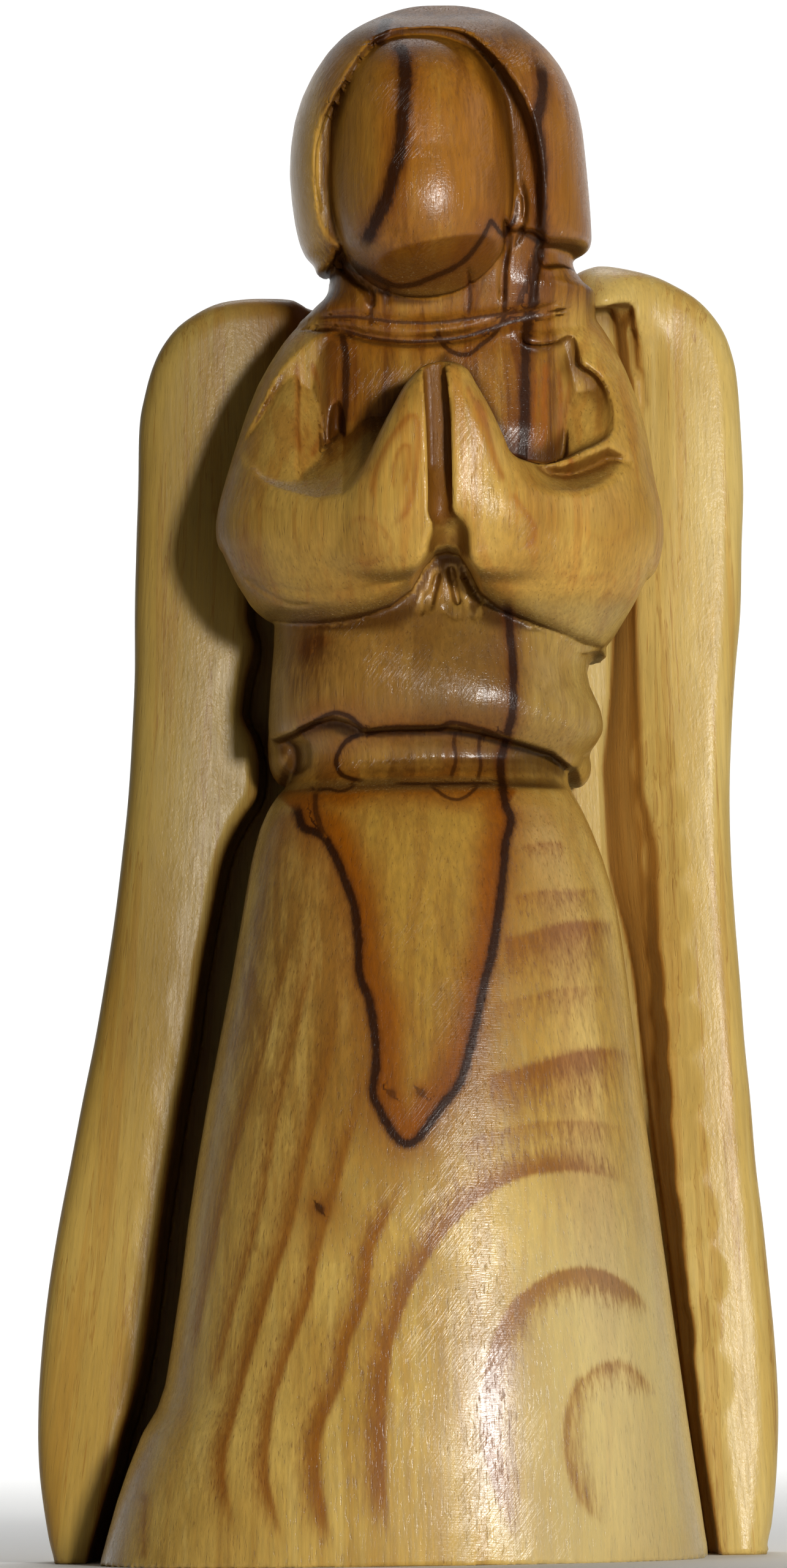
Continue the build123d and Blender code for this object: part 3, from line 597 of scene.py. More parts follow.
def split(P, Q):
    """Every quad into four."""
    n = len(P)
    e = np.stack([Q, np.roll(Q, -1, 1)], 2).reshape(-1, 2)
    key = np.sort(e, 1)
    uniq, inv = np.unique(key[:, 0] * n + key[:, 1], return_inverse=True)
    mid = (P[uniq // n] + P[uniq % n]) / 2
    E = (inv.reshape(-1, 4)) + n
    cen = P[Q].mean(1)
    Cc = np.arange(len(Q)) + n + len(mid)
    out = []
    for k in range(4):
        out.append(np.stack([Q[:, k], E[:, k], Cc, E[:, (k - 1) % 4]], 1))
    return np.vstack([P, mid, cen]), np.vstack(out)


def evaluate(fun, P):
    out = np.empty(len(P))
    step = 200000
    for i in range(0, len(P), step):
        q = P[i:i + step]
        out[i:i + step] = fun(q[:, 0], DEPTH0 - q[:, 1], q[:, 2])
    return out


def settle(fun, P, rounds, eps=0.04, most=0.35):
    for _ in range(rounds):
        f0 = evaluate(fun, P)
        g = np.empty_like(P)
        for a in range(3):
            q = P.copy()
            q[:, a] += eps
            g[:, a] = (evaluate(fun, q) - f0) / eps
        gg = np.maximum((g * g).sum(1), 0.15)
        s = -(f0 / gg)[:, None] * g
        L = np.linalg.norm(s, axis=1)[:, None]
        P = P + s * np.minimum(1, most / np.maximum(L, 1e-9))
    return P


def relax(P, Q, w=0.5):
    n = len(P)
    e = np.vstack([Q[:, [0, 1]], Q[:, [1, 2]], Q[:, [2, 3]], Q[:, [3, 0]]])
    deg = np.bincount(e[:, 0], minlength=n) + np.bincount(e[:, 1], minlength=n)
    A = np.stack([np.bincount(e[:, 0], P[e[:, 1], a], n) + np.bincount(e[:, 1], P[e[:, 0], a], n) for a in range(3)], 1)
    A /= deg[:, None]
    # move along the surface only
    fn = np.cross(P[Q[:, 2]] - P[Q[:, 0]], P[Q[:, 3]] - P[Q[:, 1]])
    N = np.zeros((n, 3))
    for k in range(4):
        for a in range(3):
            N[:, a] += np.bincount(Q[:, k], fn[:, a], n)
    N /= np.maximum(np.linalg.norm(N, axis=1), 1e-12)[:, None]
    dlt = A - P
    dlt -= (dlt * N).sum(1)[:, None] * N * 0.85
    return P + dlt * w


def sculpt(name, fun, lo, hi, h, fine=1):
    ax = [np.arange(lo[a] + 0.013, hi[a] + h, h) for a in range(3)]
    F = np.empty((len(ax[0]), len(ax[1]), len(ax[2])), np.float32)
    Yg, Zg = np.meshgrid(ax[1], ax[2], indexing="ij")
    for i, xv in enumerate(ax[0]):
        F[i] = fun(np.full(Yg.size, xv), DEPTH0 - Yg.ravel(), Zg.ravel()).reshape(Yg.shape)
    P, Q = nets(F, [ax[0][0], ax[1][0], ax[2][0]], h)
    P = settle(fun, P, 2)
    P = relax(P, Q, 0.5)
    P = settle(fun, P, 1)
    for _ in range(fine):
        P, Q = split(P, Q)
        P = settle(fun, P, 2)
        P = relax(P, Q, 0.45)
        P = settle(fun, P, 1)
        P = relax(P, Q, 0.30)
        P = settle(fun, P, 1)
    P[:, 2] = np.maximum(P[:, 2], 0.0)
    P = P * 0.001
    me = bpy.data.meshes.new(name)
    me.vertices.add(len(P))
    me.vertices.foreach_set("co", P.astype(np.float32).ravel())
    me.loops.add(len(Q) * 4)
    me.loops.foreach_set("vertex_index", Q.astype(np.int32).ravel())
    me.polygons.add(len(Q))
    me.polygons.foreach_set("loop_start", (np.arange(len(Q)) * 4).astype(np.int32))
    me.polygons.foreach_set("loop_total", np.full(len(Q), 4, np.int32))
    me.polygons.foreach_set("use_smooth", np.ones(len(Q), bool))
    me.update(calc_edges=True)
    me.validate()
    o = bpy.data.objects.new(name, me)
    bpy.context.scene.collection.objects.link(o)
    print(name, len(P), "verts", len(Q), "quads", round(time.time() - T0, 1), "s")
    return o


FINE = 1
figure = sculpt("praying_figure", f_figure, (-25.0, -20.2, -0.9), (24.2, 20.0, 120.6), 0.5, FINE)
left_panel = sculpt("left_side_panel", f_left, (-29.6, 3.0, -0.9), (5.0, 20.0, 100.6), 0.65, FINE)
right_panel = sculpt("right_side_panel", f_right, (-1.2, 3.0, -0.9), (29.8, 20.0, 102.0), 0.65, FINE)


# =====================================================================================
# Wood. Signed distances to the growth lines are laid on the vertices, and the node
# materials turn them, with object-space noise, into colour, gloss and relief.
# =====================================================================================
VEINS = [
    # (line, half width mm, strength, share of the line's ends that fades)
    ([(0.12, 115.51), (0.80, 114.70), (1.06, 113.30), (0.99, 111.19), (0.81, 108.86), (0.55, 106.52), (0.01, 104.43), (-0.52, 102.80), (-1.19, 101.51), (-1.76, 100.39), (-2.34, 99.33)], 0.50, 1.0, 0.05),
    ([(-0.13, 118.26), (-0.33, 117.51), (-0.53, 116.71), (-0.82, 115.91), (-1.20, 115.17)], 0.45, 0.9, 0.1),
    ([(11.16, 114.62), (11.51, 113.06), (11.48, 111.17), (11.08, 109.29), (11.19, 107.64), (11.40, 105.75), (11.27, 103.40), (11.22, 100.11), (10.81, 97.76), (10.59, 95.41), (10.20, 94.38), (9.96, 90.72), (9.79, 86.03), (9.47, 82.98), (9.26, 81.34)], 0.42, 0.95, 0.05),
    ([(8.14, 72.74), (8.47, 70.18), (8.62, 67.85), (8.59, 65.53), (8.47, 63.67), (8.08, 62.29), (7.64, 60.67), (7.66, 59.04), (7.91, 57.05), (8.31, 55.88), (7.82, 54.03), (7.60, 51.49), (7.24, 48.99), (6.73, 45.99), (6.09, 43.50)] + [(5.50, 40.83), (4.82, 38.08), (3.91, 35.62), (2.66, 34.12), (1.67, 32.67), (0.79, 31.63), (0.14, 31.36), (-0.50, 31.60), (-1.17, 32.44), (-1.84, 33.73), (-2.42, 35.20), (-2.16, 37.26), (-2.22, 39.56), (-2.47, 41.40)] + [(-2.69, 42.49), (-3.27, 44.02), (-3.41, 47.01), (-3.70, 49.51), (-4.45, 51.78), (-5.03, 53.26), (-5.75, 54.56), (-6.43, 55.22), (-7.35, 55.55), (-7.80, 56.58), (-8.06, 57.69)], 0.33, 1.0, 0.012),
    ([(-5.77, 54.73), (-6.27, 55.99), (-6.53, 57.39), (-6.42, 58.54)], 0.2, 0.7, 0.1),
    ([(-4.17, 94.32), (-3.86, 92.90), (-3.74, 91.02), (-3.82, 88.67), (-3.95, 86.09)], 0.26, 0.85, 0.1),
    ([(-4.40, 99.97), (-3.16, 98.78), (-2.00, 97.96), (-0.84, 97.24), (0.32, 96.85), (1.72, 96.97), (2.90, 97.38), (4.30, 97.92), (5.48, 98.65), (6.43, 99.67), (7.15, 100.75), (7.39, 101.35), (7.76, 101.07), (8.31, 100.59), (9.03, 101.52), (9.65, 102.36)], 0.17, 0.85, 0.05),
    ([(3.23, 94.10), (3.45, 93.16), (4.00, 92.31), (4.83, 91.82), (5.77, 91.91), (6.57, 92.55), (7.28, 93.11), (8.14, 94.13), (8.48, 95.44), (8.57, 98.26), (8.78, 99.90)], 0.17, 0.8, 0.05),
    ([(-1.46, 96.99), (-1.71, 95.58), (-1.87, 94.17)], 0.15, 0.6, 0.1),
    ([(5.67, 98.07), (5.83, 96.42), (5.67, 94.82)], 0.14, 0.6, 0.1),
    ([(10.41, 99.18), (10.25, 97.77), (9.67, 96.36), (9.42, 95.43)], 0.14, 0.6, 0.1),
    ([(-8.50, 62.77), (-7.80, 63.18), (-6.87, 63.49), (-5.70, 64.08), (-4.87, 64.26), (-3.94, 64.01), (-3.16, 63.35), (-2.47, 62.87), (-1.08, 63.04), (1.24, 63.05), (3.09, 63.03), (3.79, 63.34), (4.95, 63.14), (6.34, 62.75), (8.18, 62.21)], 0.17, 0.85, 0.06),
    ([(4.27, 62.99), (4.07, 61.92), (4.19, 60.75), (3.75, 59.17)], 0.15, 0.7, 0.1),
    ([(6.08, 62.77), (5.97, 61.42), (6.09, 60.25), (5.80, 59.05)], 0.14, 0.7, 0.1),
    ([(-2.48, 62.89), (-3.65, 62.58), (-4.45, 61.99), (-4.89, 60.97), (-4.71, 60.03), (-3.84, 59.41), (-2.54, 59.16)], 0.17, 0.9, 0.12),
    ([(-6.93, 59.03), (-6.47, 58.56), (-5.54, 58.64), (-4.76, 58.35), (-3.92, 58.53), (-3.36, 59.08)], 0.12, 0.7, 0.1),
    ([(2.10, 58.72), (2.79, 58.15), (3.48, 57.63), (4.31, 57.48), (4.96, 57.75), (5.58, 58.30), (6.05, 58.80)], 0.12, 0.7, 0.1),
    ([(-0.67, 58.90), (2.11, 58.81), (4.89, 58.82), (7.21, 58.84)], 0.12, 0.8, 0.1),
    ([(-6.76, 71.40), (-7.02, 69.54), (-7.23, 67.45)], 0.35, 0.45, 0.4),
    ([(-5.88, 71.39), (-6.00, 69.76), (-6.06, 68.36)], 0.28, 0.55, 0.4),
    ([(-6.61, 26.75), (-6.44, 26.52)], 0.24, 0.75, 0.0),
    ([(-7.40, 94.51), (-5.81, 94.30), (-3.94, 94.04), (-2.07, 93.40), (0.26, 92.99), (2.60, 92.95), (5.42, 93.29), (8.24, 94.19), (10.36, 94.68), (12.24, 95.08)], 0.13, 0.8, 0.1),
    ([(-6.50, 95.20), (-3.92, 95.07), (-2.05, 94.81), (0.28, 94.45), (3.09, 94.36), (5.91, 94.65), (8.72, 95.03), (11.07, 95.38)], 0.12, 0.65, 0.1),
    ([(-1.09, 35.19), (-0.95, 35.05)], 0.28, 0.5, 0.0),
    ([(1.11, 35.25), (1.24, 35.11)], 0.28, 0.5, 0.0),
]


def signed_line(points, margin=4.0):
    q = smooth_line(points, False, 0.3)
    i0, i1, j0, j1 = window(q, margin)
    X, Z = np.meshgrid(GX0 + GS * np.arange(i0, i1), GZ0 + GS * np.arange(j0, j1), indexing="ij")
    best = np.full(X.shape, 1e9)
    sgn = np.ones(X.shape)
    par = np.zeros(X.shape)
    seg = np.linalg.norm(np.diff(q, axis=0), axis=1)
    cum = np.concatenate([[0], np.cumsum(seg)])
    for k in range(len(q) - 1):
        ax, az = q[k]
        vx, vz = q[k + 1] - q[k]
        L = vx * vx + vz * vz
        if L < 1e-12:
            continue
        t = np.clip(((X - ax) * vx + (Z - az) * vz) / L, 0, 1)
        dd = (X - ax - t * vx) ** 2 + (Z - az - t * vz) ** 2
        m = dd < best
        best[m] = dd[m]
        sgn[m] = np.sign((X - ax) * vz - (Z - az) * vx)[m]
        par[m] = ((cum[k] + t * seg[k]) / max(cum[-1], 1e-6))[m]
    return (i0, i1, j0, j1), np.sqrt(best) * np.where(sgn == 0, 1, sgn), par


vein_sd = np.full((NX, NZ), 4.0, np.float32)
vein_on = np.zeros((NX, NZ), np.float32)
vein_far = np.full((NX, NZ), 8.0, np.float32)
for pts_, hw, strength, fade in VEINS:
    (i0, i1, j0, j1), sd_, par = signed_line(pts_, 9.0 if len(pts_) > 30 else 4.0)
    # measured in half widths, so that one reading serves thin and broad lines
    unit = sd_ / hw
    end = np.clip(np.minimum(par, 1 - par) / fade, 0, 1) if fade > 0 else np.ones_like(par)
    power = strength * end * sstep(3.0, 1.9, np.abs(unit))
    far = vein_far[i0:i1, j0:j1]
    np.minimum(far, np.abs(sd_) / max(strength, 0.1) + 6 * (1 - end), out=far)
    cur = vein_sd[i0:i1, j0:j1]
    curp = vein_on[i0:i1, j0:j1]
    take = np.abs(unit) < np.abs(cur) * 1.0
    cur[take] = np.clip(unit, -4, 4)[take]
    curp[take] = power[take]

# brown growth rings of the skirt: crisp on one side, bleeding off on the other
RINGS = [
    ([(-8.47, 56.18), (-9.21, 51.84), (-10.64, 46.84), (-12.08, 41.83), (-13.51, 36.38), (-14.95, 30.93), (-15.93, 25.48), (-16.67, 20.95)], 0.35, 0.9, 0.35),
    ([(-7.14, 52.73), (-7.78, 49.08), (-8.98, 44.99), (-10.37, 39.89), (-11.94, 34.53), (-13.28, 30.00), (-14.58, 24.10), (-15.70, 18.66), (-16.77, 12.77)], 0.45, 1.1, 0.6),
    ([(-5.88, 51.80), (-6.53, 47.24), (-7.65, 42.23), (-8.94, 37.23), (-10.06, 31.77), (-11.00, 26.78), (-11.71, 24.06), (-13.05, 19.53), (-14.39, 14.55), (-15.45, 9.57)], 0.4, 1.2, 0.7),
    ([(-4.37, 48.12), (-4.90, 42.65), (-5.84, 37.18), (-7.29, 31.74), (-8.64, 25.79), (-10.11, 21.49), (-11.10, 18.37), (-12.06, 15.29), (-13.06, 11.58), (-13.87, 8.51), (-13.90, 6.02), (-13.17, 2.92), (-12.57, 0.02)], 0.35, 1.3, 0.9),
    ([(-10.99, 27.01), (-11.61, 24.92), (-10.95, 23.37), (-10.28, 22.22)], 0.25, 0.5, 0.5),
    ([(-3.12, 39.39), (-3.50, 34.84), (-4.60, 30.76), (-5.70, 26.96), (-6.66, 23.57), (-7.48, 19.86), (-8.94, 16.20), (-10.07, 12.77), (-10.61, 9.70), (-10.74, 6.62), (-10.01, 3.53), (-8.74, -0.01)], 0.35, 1.2, 0.9),
    ([(0.40, 30.69), (-0.69, 27.53), (-2.61, 23.83), (-3.30, 19.80), (-4.57, 16.73), (-5.24, 13.66), (-6.70, 10.28), (-7.01, 7.47), (-6.60, 4.39), (-5.61, -0.06)], 0.4, 1.5, 0.95),
    ([(19.13, 26.57), (17.11, 28.10), (13.03, 29.34), (8.93, 29.03), (5.50, 27.44), (2.68, 24.71), (0.78, 21.92), (-0.53, 19.17), (-1.49, 16.10), (-1.90, 12.66), (-2.04, 8.99), (-2.00, 5.27), (-1.67, 2.78), (-1.12, -0.12)], 0.35, 1.9, 0.95),
    ([(-19.76, 6.46), (-19.98, 3.74), (-19.93, 0.12)], 0.3, 0.9, 0.6),
    ([(8.59, -0.26), (7.31, 2.66), (6.41, 5.75), (5.68, 8.88), (5.60, 12.55), (6.28, 15.99), (7.55, 18.74), (8.98, 20.13), (11.32, 21.45), (14.41, 21.50), (16.98, 19.92), (19.21, 17.26)], 0.4, 1.85, 1.0),
    ([(15.79, 1.81), (15.03, 2.55), (13.23, 3.80), (12.00, 6.30), (11.58, 8.80), (11.95, 11.87), (13.06, 13.72), (15.53, 14.77), (17.38, 13.66), (19.34, 11.36)], 0.5, 1.8, 0.62),
    ([(7.50, 46.58), (8.79, 46.70), (10.63, 47.32), (12.56, 47.84), (15.00, 48.08), (17.98, 47.95)], 0.45, 3.2, 0.9),
    ([(8.30, 49.88), (10.23, 50.31), (12.99, 50.46), (16.67, 50.96)], 0.3, 2.0, 0.6),
    ([(6.69, 41.56), (9.17, 42.26), (12.38, 42.94), (17.88, 43.32)], 0.3, 2.4, 0.5),
    ([(5.91, 36.14), (8.16, 36.56), (10.91, 37.39), (13.61, 38.13), (16.40, 38.19), (19.58, 37.32)], 0.45, 3.2, 0.9),
    ([(3.73, 31.04), (6.25, 32.00), (9.91, 32.77), (14.47, 32.80), (19.92, 31.58)], 0.3, 2.6, 0.55),
    ([(8.73, 53.70), (10.30, 54.05), (12.60, 54.11)], 0.3, 1.4, 0.6),
]
ring = np.zeros((NX, NZ), np.float32)
for pts_, w_out, w_in, strength in RINGS:
    (i0, i1, j0, j1), sd_, par = signed_line(pts_, 4.0 + 2.2 * w_in)
    w_ = np.where(sd_ < 0, w_out, w_in)
    start = sstep(0.0, 0.03, par) if w_in >= 1.9 and pts_[0][1] < 58 and pts_[0][1] > 30 else sstep(0.0, 0.22, par)
    end = start * sstep(0.0, 0.45 if w_in >= 1.9 and pts_[0][1] > 30 else 0.15, 1 - par)
    v_ = strength * end * np.exp(-(np.abs(sd_) / w_) ** 1.3)
    cur = ring[i0:i1, j0:j1]
    np.maximum(cur, v_.astype(np.float32), out=cur)

ARM_RINGS = [
    ([(-1.32, 78.32), (-1.84, 80.64), (-1.16, 83.18), (0.16, 85.24), (1.19, 86.15), (1.73, 85.22), (1.50, 81.98), (0.91, 79.21), (-0.41, 77.75), (-1.32, 78.32)], 0.3, 0.5, 0.8),
    ([(-0.15, 79.92), (-0.35, 81.77), (0.23, 83.62), (0.97, 83.84), (0.94, 81.99), (0.32, 80.05)], 0.2, 0.4, 0.7),
    ([(-4.12, 77.24), (-2.94, 78.62), (-1.11, 77.66), (-0.43, 76.02), (-2.30, 75.12), (-4.14, 76.08)], 0.3, 0.6, 0.5),
    ([(5.73, 87.94), (6.63, 86.08), (7.06, 84.22), (7.59, 82.36), (8.39, 80.49)], 0.3, 0.6, 0.8),
    ([(5.28, 88.65), (6.09, 86.78), (6.61, 84.92)], 0.25, 0.4, 0.7),
    ([(8.42, 80.68), (9.32, 79.28), (10.32, 77.78), (10.11, 76.48), (9.04, 76.03)], 0.3, 0.6, 0.7),
    ([(-12.07, 76.77), (-11.34, 79.10), (-10.16, 80.02), (-8.31, 79.06)], 0.3, 0.9, 0.4),
    ([(13.07, 79.04), (14.45, 77.62), (16.29, 77.13), (18.17, 78.50)], 0.3, 0.9, 0.35),
    ([(11.62, 74.87), (13.93, 74.14), (16.72, 74.80)], 0.3, 1.2, 0.4),
    ([(-7.50, 92.26), (-7.40, 88.98), (-7.44, 86.16), (-7.19, 83.58)], 0.22, 0.45, 0.9),
    ([(-6.52, 92.25), (-6.07, 90.84), (-5.67, 89.42), (-5.50, 88.01), (-5.66, 86.14), (-6.15, 84.51), (-6.87, 83.49)], 0.25, 0.35, 1.3),
    ([(-6.86, 90.85), (-6.66, 88.50), (-6.69, 86.15), (-6.85, 84.75)], 0.15, 0.2, 0.5),
    ([(11.58, 91.79), (11.39, 88.61), (11.30, 85.80), (10.85, 83.84)], 0.3, 0.4, 1.0),
    ([(12.46, 91.40), (12.65, 88.59), (12.51, 85.78), (12.02, 83.68)], 0.25, 0.3, 0.8),
    ([(13.47, 90.45), (13.05, 87.65), (12.73, 84.84)], 0.3, 0.3, 0.7),
    ([(10.73, 90.96), (10.58, 87.68), (10.40, 84.41)], 0.25, 0.3, 0.8),
    ([(13.02, 83.57), (13.29, 82.87), (12.95, 82.03), (12.39, 81.57)], 0.3, 0.3, 0.9),
]
aring = np.zeros((NX, NZ), np.float32)
for pts_, w_out, w_in, strength in ARM_RINGS:
    (i0, i1, j0, j1), sd_, par = signed_line(pts_, 4.0)
    w_ = np.where(sd_ < 0, w_out, w_in)
    end = sstep(0.0, 0.15, np.minimum(par, 1 - par))
    cur = aring[i0:i1, j0:j1]
    np.maximum(cur, (strength * end * np.exp(-(np.abs(sd_) / w_) ** 1.4)).astype(np.float32), out=cur)

TONGUE = area_map([(7.44, 58.86), (7.87, 56.86), (8.27, 55.70), (7.78, 53.87), (7.56, 51.33), (7.20, 48.85), (6.70, 45.86), (6.06, 43.38), (5.52, 40.90), (4.84, 38.15), (3.93, 35.68), (2.66, 34.18), (1.68, 32.72), (0.79, 31.68), (0.14, 31.41), (-0.50, 31.65), (-1.18, 32.49), (-1.85, 33.78), (-2.42, 35.26), (-2.17, 37.33), (-2.21, 40.78), (-2.69, 42.49), (-3.27, 44.02), (-3.41, 47.01), (-3.70, 49.51), (-4.45, 51.78), (-5.03, 53.26), (-5.75, 54.56), (-6.43, 55.22), (-7.35, 55.55), (-7.89, 56.76), (-8.50, 59.08)], margin=5)
UPPER = [tuple(p) for p in [(8.74, 73.21), (8.63, 65.75), (8.51, 63.88), (8.12, 62.49), (7.63, 60.87), (7.59, 58.30)]]


def add_attr(o, name, values):
    a = o.data.attributes.new(name, "FLOAT", "POINT")
    a.data.foreach_set("value", np.asarray(values, np.float32))


co_ = np.zeros(len(figure.data.vertices) * 3, np.float32)
figure.data.vertices.foreach_get("co", co_)
co_ = co_.reshape(-1, 3) * 1000.0
vx_, vd_, vz_ = co_[:, 0], DEPTH0 - co_[:, 1], co_[:, 2]
# where the paler outer wood lies: sleeves, hands and outer arms
arm_zone = sstep(71.6, 73.2, vz_) * (1 - sstep(93.5, 97.0, vz_))
arm_zone *= np.maximum(sstep(24.0, 25.6, vd_), np.maximum(sstep(8.6, 10.2, 3.6 - vx_), sstep(8.2, 10.6, vx_ - 3.6)))
skirt_zone = 1 - sstep(58.6, 59.6, vz_)
ux = np.interp(vz_, [p[1] for p in UPPER][::-1], [p[0] for p in UPPER][::-1])
waist = 1 - 0.55 * sstep(-0.2, 0.3, vx_ - ux) - 0.35 * sstep(2.5, 5.5, vx_ - ux)
chest = np.ones_like(vx_)
heart = np.where(vz_ < 73, waist, chest)
tongue = sstep(0.25, -0.25, samp(TONGUE, vx_, vz_))
heart = heart * (1 - skirt_zone) + (tongue * 0.72) * skirt_zone
heart = heart * (1 - arm_zone)
head_zone = sstep(97.5, 99.5, vz_)
add_attr(figure, "vein_sd", samp(vein_sd, vx_, vz_))
add_attr(figure, "vein_on", samp(vein_on, vx_, vz_) * (1 - arm_zone) * sstep(13.0, 16.0, vd_))
add_attr(figure, "heart", heart)
add_attr(figure, "arm", arm_zone)
add_attr(figure, "skirt", skirt_zone)
add_attr(figure, "head", head_zone)
add_attr(figure, "slot", sstep(0.15, -0.1, samp(psd, vx_, vz_)) * sstep(28.5, 29.5, vd_) * sstep(32.9, 31.6, vd_))
add_attr(figure, "vein_far", samp(vein_far, vx_, vz_) + 8 * arm_zone)
add_attr(figure, "ring", samp(ring, vx_, vz_) * sstep(10.0, 16.0, vd_) * skirt_zone)
add_attr(figure, "aring", samp(aring, vx_, vz_) * sstep(17.0, 20.0, vd_) * np.maximum(arm_zone, sstep(9.5, 10.5, vx_) * sstep(73.0, 75.0, vz_) * sstep(94.0, 93.0, vz_)))
add_attr(figure, "tongue", np.clip(-samp(TONGUE, vx_, vz_), -3, 6) * skirt_zone - 3 * (1 - skirt_zone))


def recesses(o, fun):
    """How far each vertex lies down in a recess, read from the solid as an occlusion estimate; the materials paint
    shade into the colour from it and dull the coat there.
    """
    n = len(o.data.vertices)
    p = np.zeros(n * 3, np.float32)
    o.data.vertices.foreach_get("co", p)
    q = np.zeros(n * 3, np.float32)
    o.data.vertices.foreach_get("normal", q)
    p, q = p.reshape(-1, 3).astype(float) * 1000.0, q.reshape(-1, 3).astype(float)
    total = np.zeros(n)
    for h, w in ((0.7, 0.35), (1.8, 0.40), (4.0, 0.45)):
        v = np.zeros(n)
        for i in range(0, n, 60000):
            a, b = p[i:i + 60000], q[i:i + 60000]
            v[i:i + 60000] = fun(a[:, 0] + b[:, 0] * h, DEPTH0 - (a[:, 1] + b[:, 1] * h), a[:, 2] + b[:, 2] * h)
        total += w * np.clip(1 - v / h, 0, 1)
    add_attr(o, "hollow", np.clip(total, 0, 1))


recesses(figure, f_figure)
recesses(left_panel, f_left)
recesses(right_panel, f_right)


class Nodes:
    """Short hand for building a shader graph."""

    def __init__(self, mat):
        mat.use_nodes = True
        self.t = mat.node_tree
        self.t.nodes.clear()

    def new(self, kind, **props):
        n = self.t.nodes.new(kind)
        for k, v in props.items():
            setattr(n, k, v)
        return n

    def put(self, sock, v):
        if v is None:
            return
        if hasattr(v, "is_output") or isinstance(v, bpy.types.NodeSocket):
            self.t.links.new(v, sock)
        else:
            sock.default_value = v

    def m(self, op, a, b=None, c=None, clamp=False):
        n = self.new("ShaderNodeMath", operation=op, use_clamp=clamp)
        self.put(n.inputs[0], a)
        self.put(n.inputs[1], b)
        if c is not None:
            self.put(n.inputs[2], c)
        return n.outputs[0]

    def add(self, a, b):
        return self.m("ADD", a, b)

    def sub(self, a, b):
        return self.m("SUBTRACT", a, b)

    def mul(self, a, b):
        return self.m("MULTIPLY", a, b)

    def step(self, v, lo, hi, a=0.0, b=1.0):
        n = self.new("ShaderNodeMapRange", interpolation_type="SMOOTHSTEP")
        self.put(n.inputs["Value"], v)
        n.inputs["From Min"].default_value = lo
        n.inputs["From Max"].default_value = hi
        n.inputs["To Min"].default_value = a
        n.inputs["To Max"].default_value = b
        return n.outputs["Result"]

    def mix(self, f, a, b):
        n = self.new("ShaderNodeMix", data_type="RGBA")
        self.put(n.inputs[0], f)
        self.put(n.inputs[6], (*a, 1) if isinstance(a, tuple) and len(a) == 3 else a)
        self.put(n.inputs[7], (*b, 1) if isinstance(b, tuple) and len(b) == 3 else b)
        return n.outputs[2]

    def shade(self, col, v):
        n = self.new("ShaderNodeVectorMath", operation="SCALE")
        self.put(n.inputs[0], col)
        self.put(n.inputs["Scale"], v)
        return n.outputs[0]

    def attr(self, name):
        n = self.new("ShaderNodeAttribute", attribute_type="GEOMETRY", attribute_name=name)
        return n.outputs["Fac"]

    def scaled(self, vec, s):
        n = self.new("ShaderNodeVectorMath", operation="MULTIPLY")
        self.put(n.inputs[0], vec)
        n.inputs[1].default_value = s
        return n.outputs[0]

    def noise(self, vec, s, detail=2.0, rough=0.5, dist=0.0, off=0.0):
        n = self.new("ShaderNodeTexNoise")
        v = self.scaled(vec, s)
        if off:
            a = self.new("ShaderNodeVectorMath", operation="ADD")
            self.put(a.inputs[0], v)
            a.inputs[1].default_value = (off, off * 1.7, off * 0.6)
            v = a.outputs[0]
        self.put(n.inputs["Vector"], v)
        n.inputs["Scale"].default_value = 1.0
        n.inputs["Detail"].default_value = detail
        n.inputs["Roughness"].default_value = rough
        n.inputs["Distortion"].default_value = dist
        return n.outputs["Fac"]

    def ramp(self, v, stops, interp="LINEAR"):
        n = self.new("ShaderNodeValToRGB")
        n.color_ramp.interpolation = interp
        e = n.color_ramp.elements
        while len(e) > 1:
            e.remove(e[-1])
        e[0].position, e[0].color = stops[0][0], (stops[0][1],) * 3 + (1,)
        for p, val in stops[1:]:
            k = e.new(p)
            k.color = (val, val, val, 1)
        self.put(n.inputs[0], v)
        return n.outputs[0]


def lin(r, g, b):
    f = lambda c: (c / 255 / 12.92) if c / 255 <= 0.04045 else ((c / 255 + 0.055) / 1.055) ** 2.4
    return (f(r), f(g), f(b))


def grain_base(N):
    tc = N.new("ShaderNodeTexCoord")
    P = N.scaled(tc.outputs["Object"], (1000.0, 1000.0, 1000.0))
    s = N.new("ShaderNodeSeparateXYZ")
    N.put(s.inputs[0], P)
    return P, s.outputs[0], s.outputs[1], s.outputs[2]


def end_grain(N, base, P, tint, amount=0.75):
    """Cuts across the fibres drink more finish: darker, greyer and speckled."""
    g = N.new("ShaderNodeTexCoord")
    s = N.new("ShaderNodeSeparateXYZ")
    N.put(s.inputs[0], g.outputs["Normal"])
    up = N.mul(N.step(N.m("ABSOLUTE", s.outputs[2]), 0.66, 0.95), amount)
    base = N.mix(up, base, tint)
    dots = N.noise(P, (5.5, 5.5, 5.5), 2, 0.6, off=71.0)
    base = N.mix(N.mul(up, N.step(dots, 0.60, 0.72, 0.0, 0.55)), base, lin(224, 205, 160))
    return N.mix(N.mul(up, N.step(dots, 0.42, 0.30, 0.0, 0.5)), base, lin(58, 36, 14)), up


